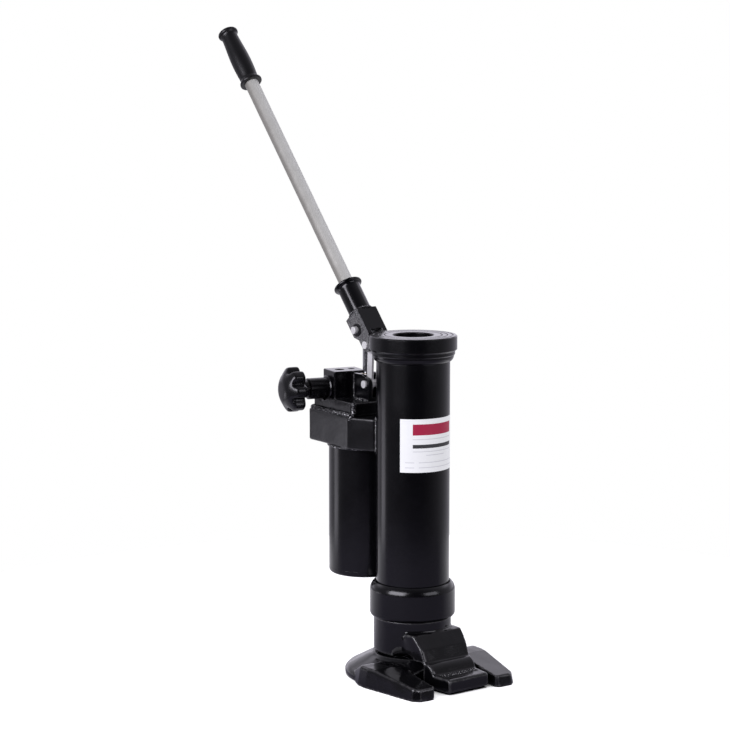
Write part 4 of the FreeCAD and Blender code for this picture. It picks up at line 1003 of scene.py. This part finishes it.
def make_world():
    """White room: dim on the side the jack is seen from, bright at its back and right."""
    world = bpy.data.worlds.new("studio_world")
    world.use_nodes = True
    bpy.context.scene.world = world
    tree = world.node_tree
    tree.nodes.clear()
    way = add(tree, "ShaderNodeTexCoord").outputs["Generated"]
    front = dot(tree, way, toward_camera())
    side = dot(tree, way, right_of_camera())
    depth = spread(tree, front, 0.85, -1.0)
    glow = slide(tree, calc(tree, "POWER", depth, 1.2), 0.02, 0.52)
    lean = spread(tree, side, -1.0, 1.0, 0.9, 1.3)
    height = add(tree, "ShaderNodeSeparateXYZ", {0: way}).outputs["Z"]
    high = calc(tree, "MULTIPLY", wall_of_light(tree, height, *HIGH_WALL), spread(tree, front, -0.2, -0.6))
    low = calc(tree, "MULTIPLY", wall_of_light(tree, height, *LOW_WALL), spread(tree, front, -0.5, -0.8))
    dim = add(tree, "ShaderNodeBackground", {
        "Color": ROOM_TINT,
        "Strength": calc(tree, "ADD", calc(tree, "MULTIPLY", glow, lean), calc(tree, "ADD", high, low))})
    white = add(tree, "ShaderNodeBackground", {"Color": WHITE, "Strength": 1.0})
    out = tree.nodes.new("ShaderNodeOutputWorld")
    tree.links.new(camera_mix(tree, dim.outputs[0], white.outputs[0]), out.inputs[0])


def floor_paper():
    """Pale paper: bright where it is looked at, shaded under the foot; the jack mirrors it dim."""
    f = Finish("pale_floor")
    tree = f.tree
    haze = noise(tree, f.where, 9.0, 3.0)
    tone = blend(tree, haze, FLOOR_PALE, FLOOR_PALER)
    open_sky = add(tree, "ShaderNodeAmbientOcclusion", {"Distance": FLOOR_SHADE}, samples=12).outputs["AO"]
    shade = spread(tree, open_sky, 0.25, 0.6)
    f.set(Base_Color=blend(tree, shade, FLOOR_DARK, tone), Specular_IOR_Level=0.0,
          Roughness=slide(tree, haze, 0.8, 1.0), Emission_Color=WHITE,
          Emission_Strength=calc(tree, "MULTIPLY", shade, 0.8))
    dull = add(tree, "ShaderNodeBsdfDiffuse", {"Color": FLOOR_MIRRORED})
    back = spread(tree, dot(tree, f.where, -toward_camera()), -0.05, 0.4, 0.0, 0.75)
    glow = add(tree, "ShaderNodeEmission", {"Strength": back})
    mirrored = add(tree, "ShaderNodeAddShader", {0: dull.outputs[0], 1: glow.outputs[0]})
    tree.links.new(camera_mix(tree, mirrored.outputs[0], f.shader.outputs[0]), f.out.inputs[0])
    return f.material


def make_floor(radius):
    """A round pale floor under the foot."""
    mesh = bpy.data.meshes.new("studio_floor")
    shape = bmesh.new()
    bmesh.ops.create_circle(shape, cap_ends=True, segments=FLOOR_SIDES, radius=radius)
    bmesh.ops.translate(shape, verts=shape.verts, vec=-UP * FLOOR_DROP)
    shape.to_mesh(mesh)
    shape.free()
    floor = bpy.data.objects.new("studio_floor", mesh)
    bpy.context.scene.collection.objects.link(floor)
    mesh.materials.append(floor_paper())


class JACK_OT_stage(bpy.types.Operator):
    """Set up the floor, the lights and the camera"""
    bl_idname = "jack.stage"
    bl_label = "Stage"

    def execute(self, context):
        make_camera()
        make_world()
        make_floor(sizes().floor)
        bpy.context.scene.view_settings.view_transform = "Standard"
        for name, (near, right, up), wide, tall, power in SOFT_BOXES:
            spot = toward_camera() * near + right_of_camera() * right + UP * up
            soft_box(name, spot, wide, tall, power)
        return {"FINISHED"}


class JACK_PT_panel(bpy.types.Panel):
    """Sidebar panel with the steps in order"""
    bl_idname = "JACK_PT_panel"
    bl_label = "Machine jack"
    bl_space_type = "VIEW_3D"
    bl_region_type = "UI"
    bl_category = "Jack"

    def draw(self, context):
        for step in STEPS:
            self.layout.operator(step.bl_idname)


STEPS = (JACK_OT_finishes, JACK_OT_castings, JACK_OT_star_knob, JACK_OT_lever_ends, JACK_OT_welds,
         JACK_OT_stage)
CLASSES = (JackSizes, JackColours, *STEPS, JACK_PT_panel)


def register():
    for cls in CLASSES:
        bpy.utils.register_class(cls)
    bpy.types.Scene.jack_sizes = bpy.props.PointerProperty(type=JackSizes)
    bpy.types.Scene.jack_colours = bpy.props.PointerProperty(type=JackColours)


def unregister():
    del bpy.types.Scene.jack_colours
    del bpy.types.Scene.jack_sizes
    for cls in reversed(CLASSES):
        bpy.utils.unregister_class(cls)


def main():
    register()
    bpy.ops.jack.finishes()
    bpy.ops.jack.castings()
    bpy.ops.jack.star_knob()
    bpy.ops.jack.lever_ends()
    bpy.ops.jack.welds()
    bpy.ops.jack.stage()


if __name__ == "__main__":
    main()
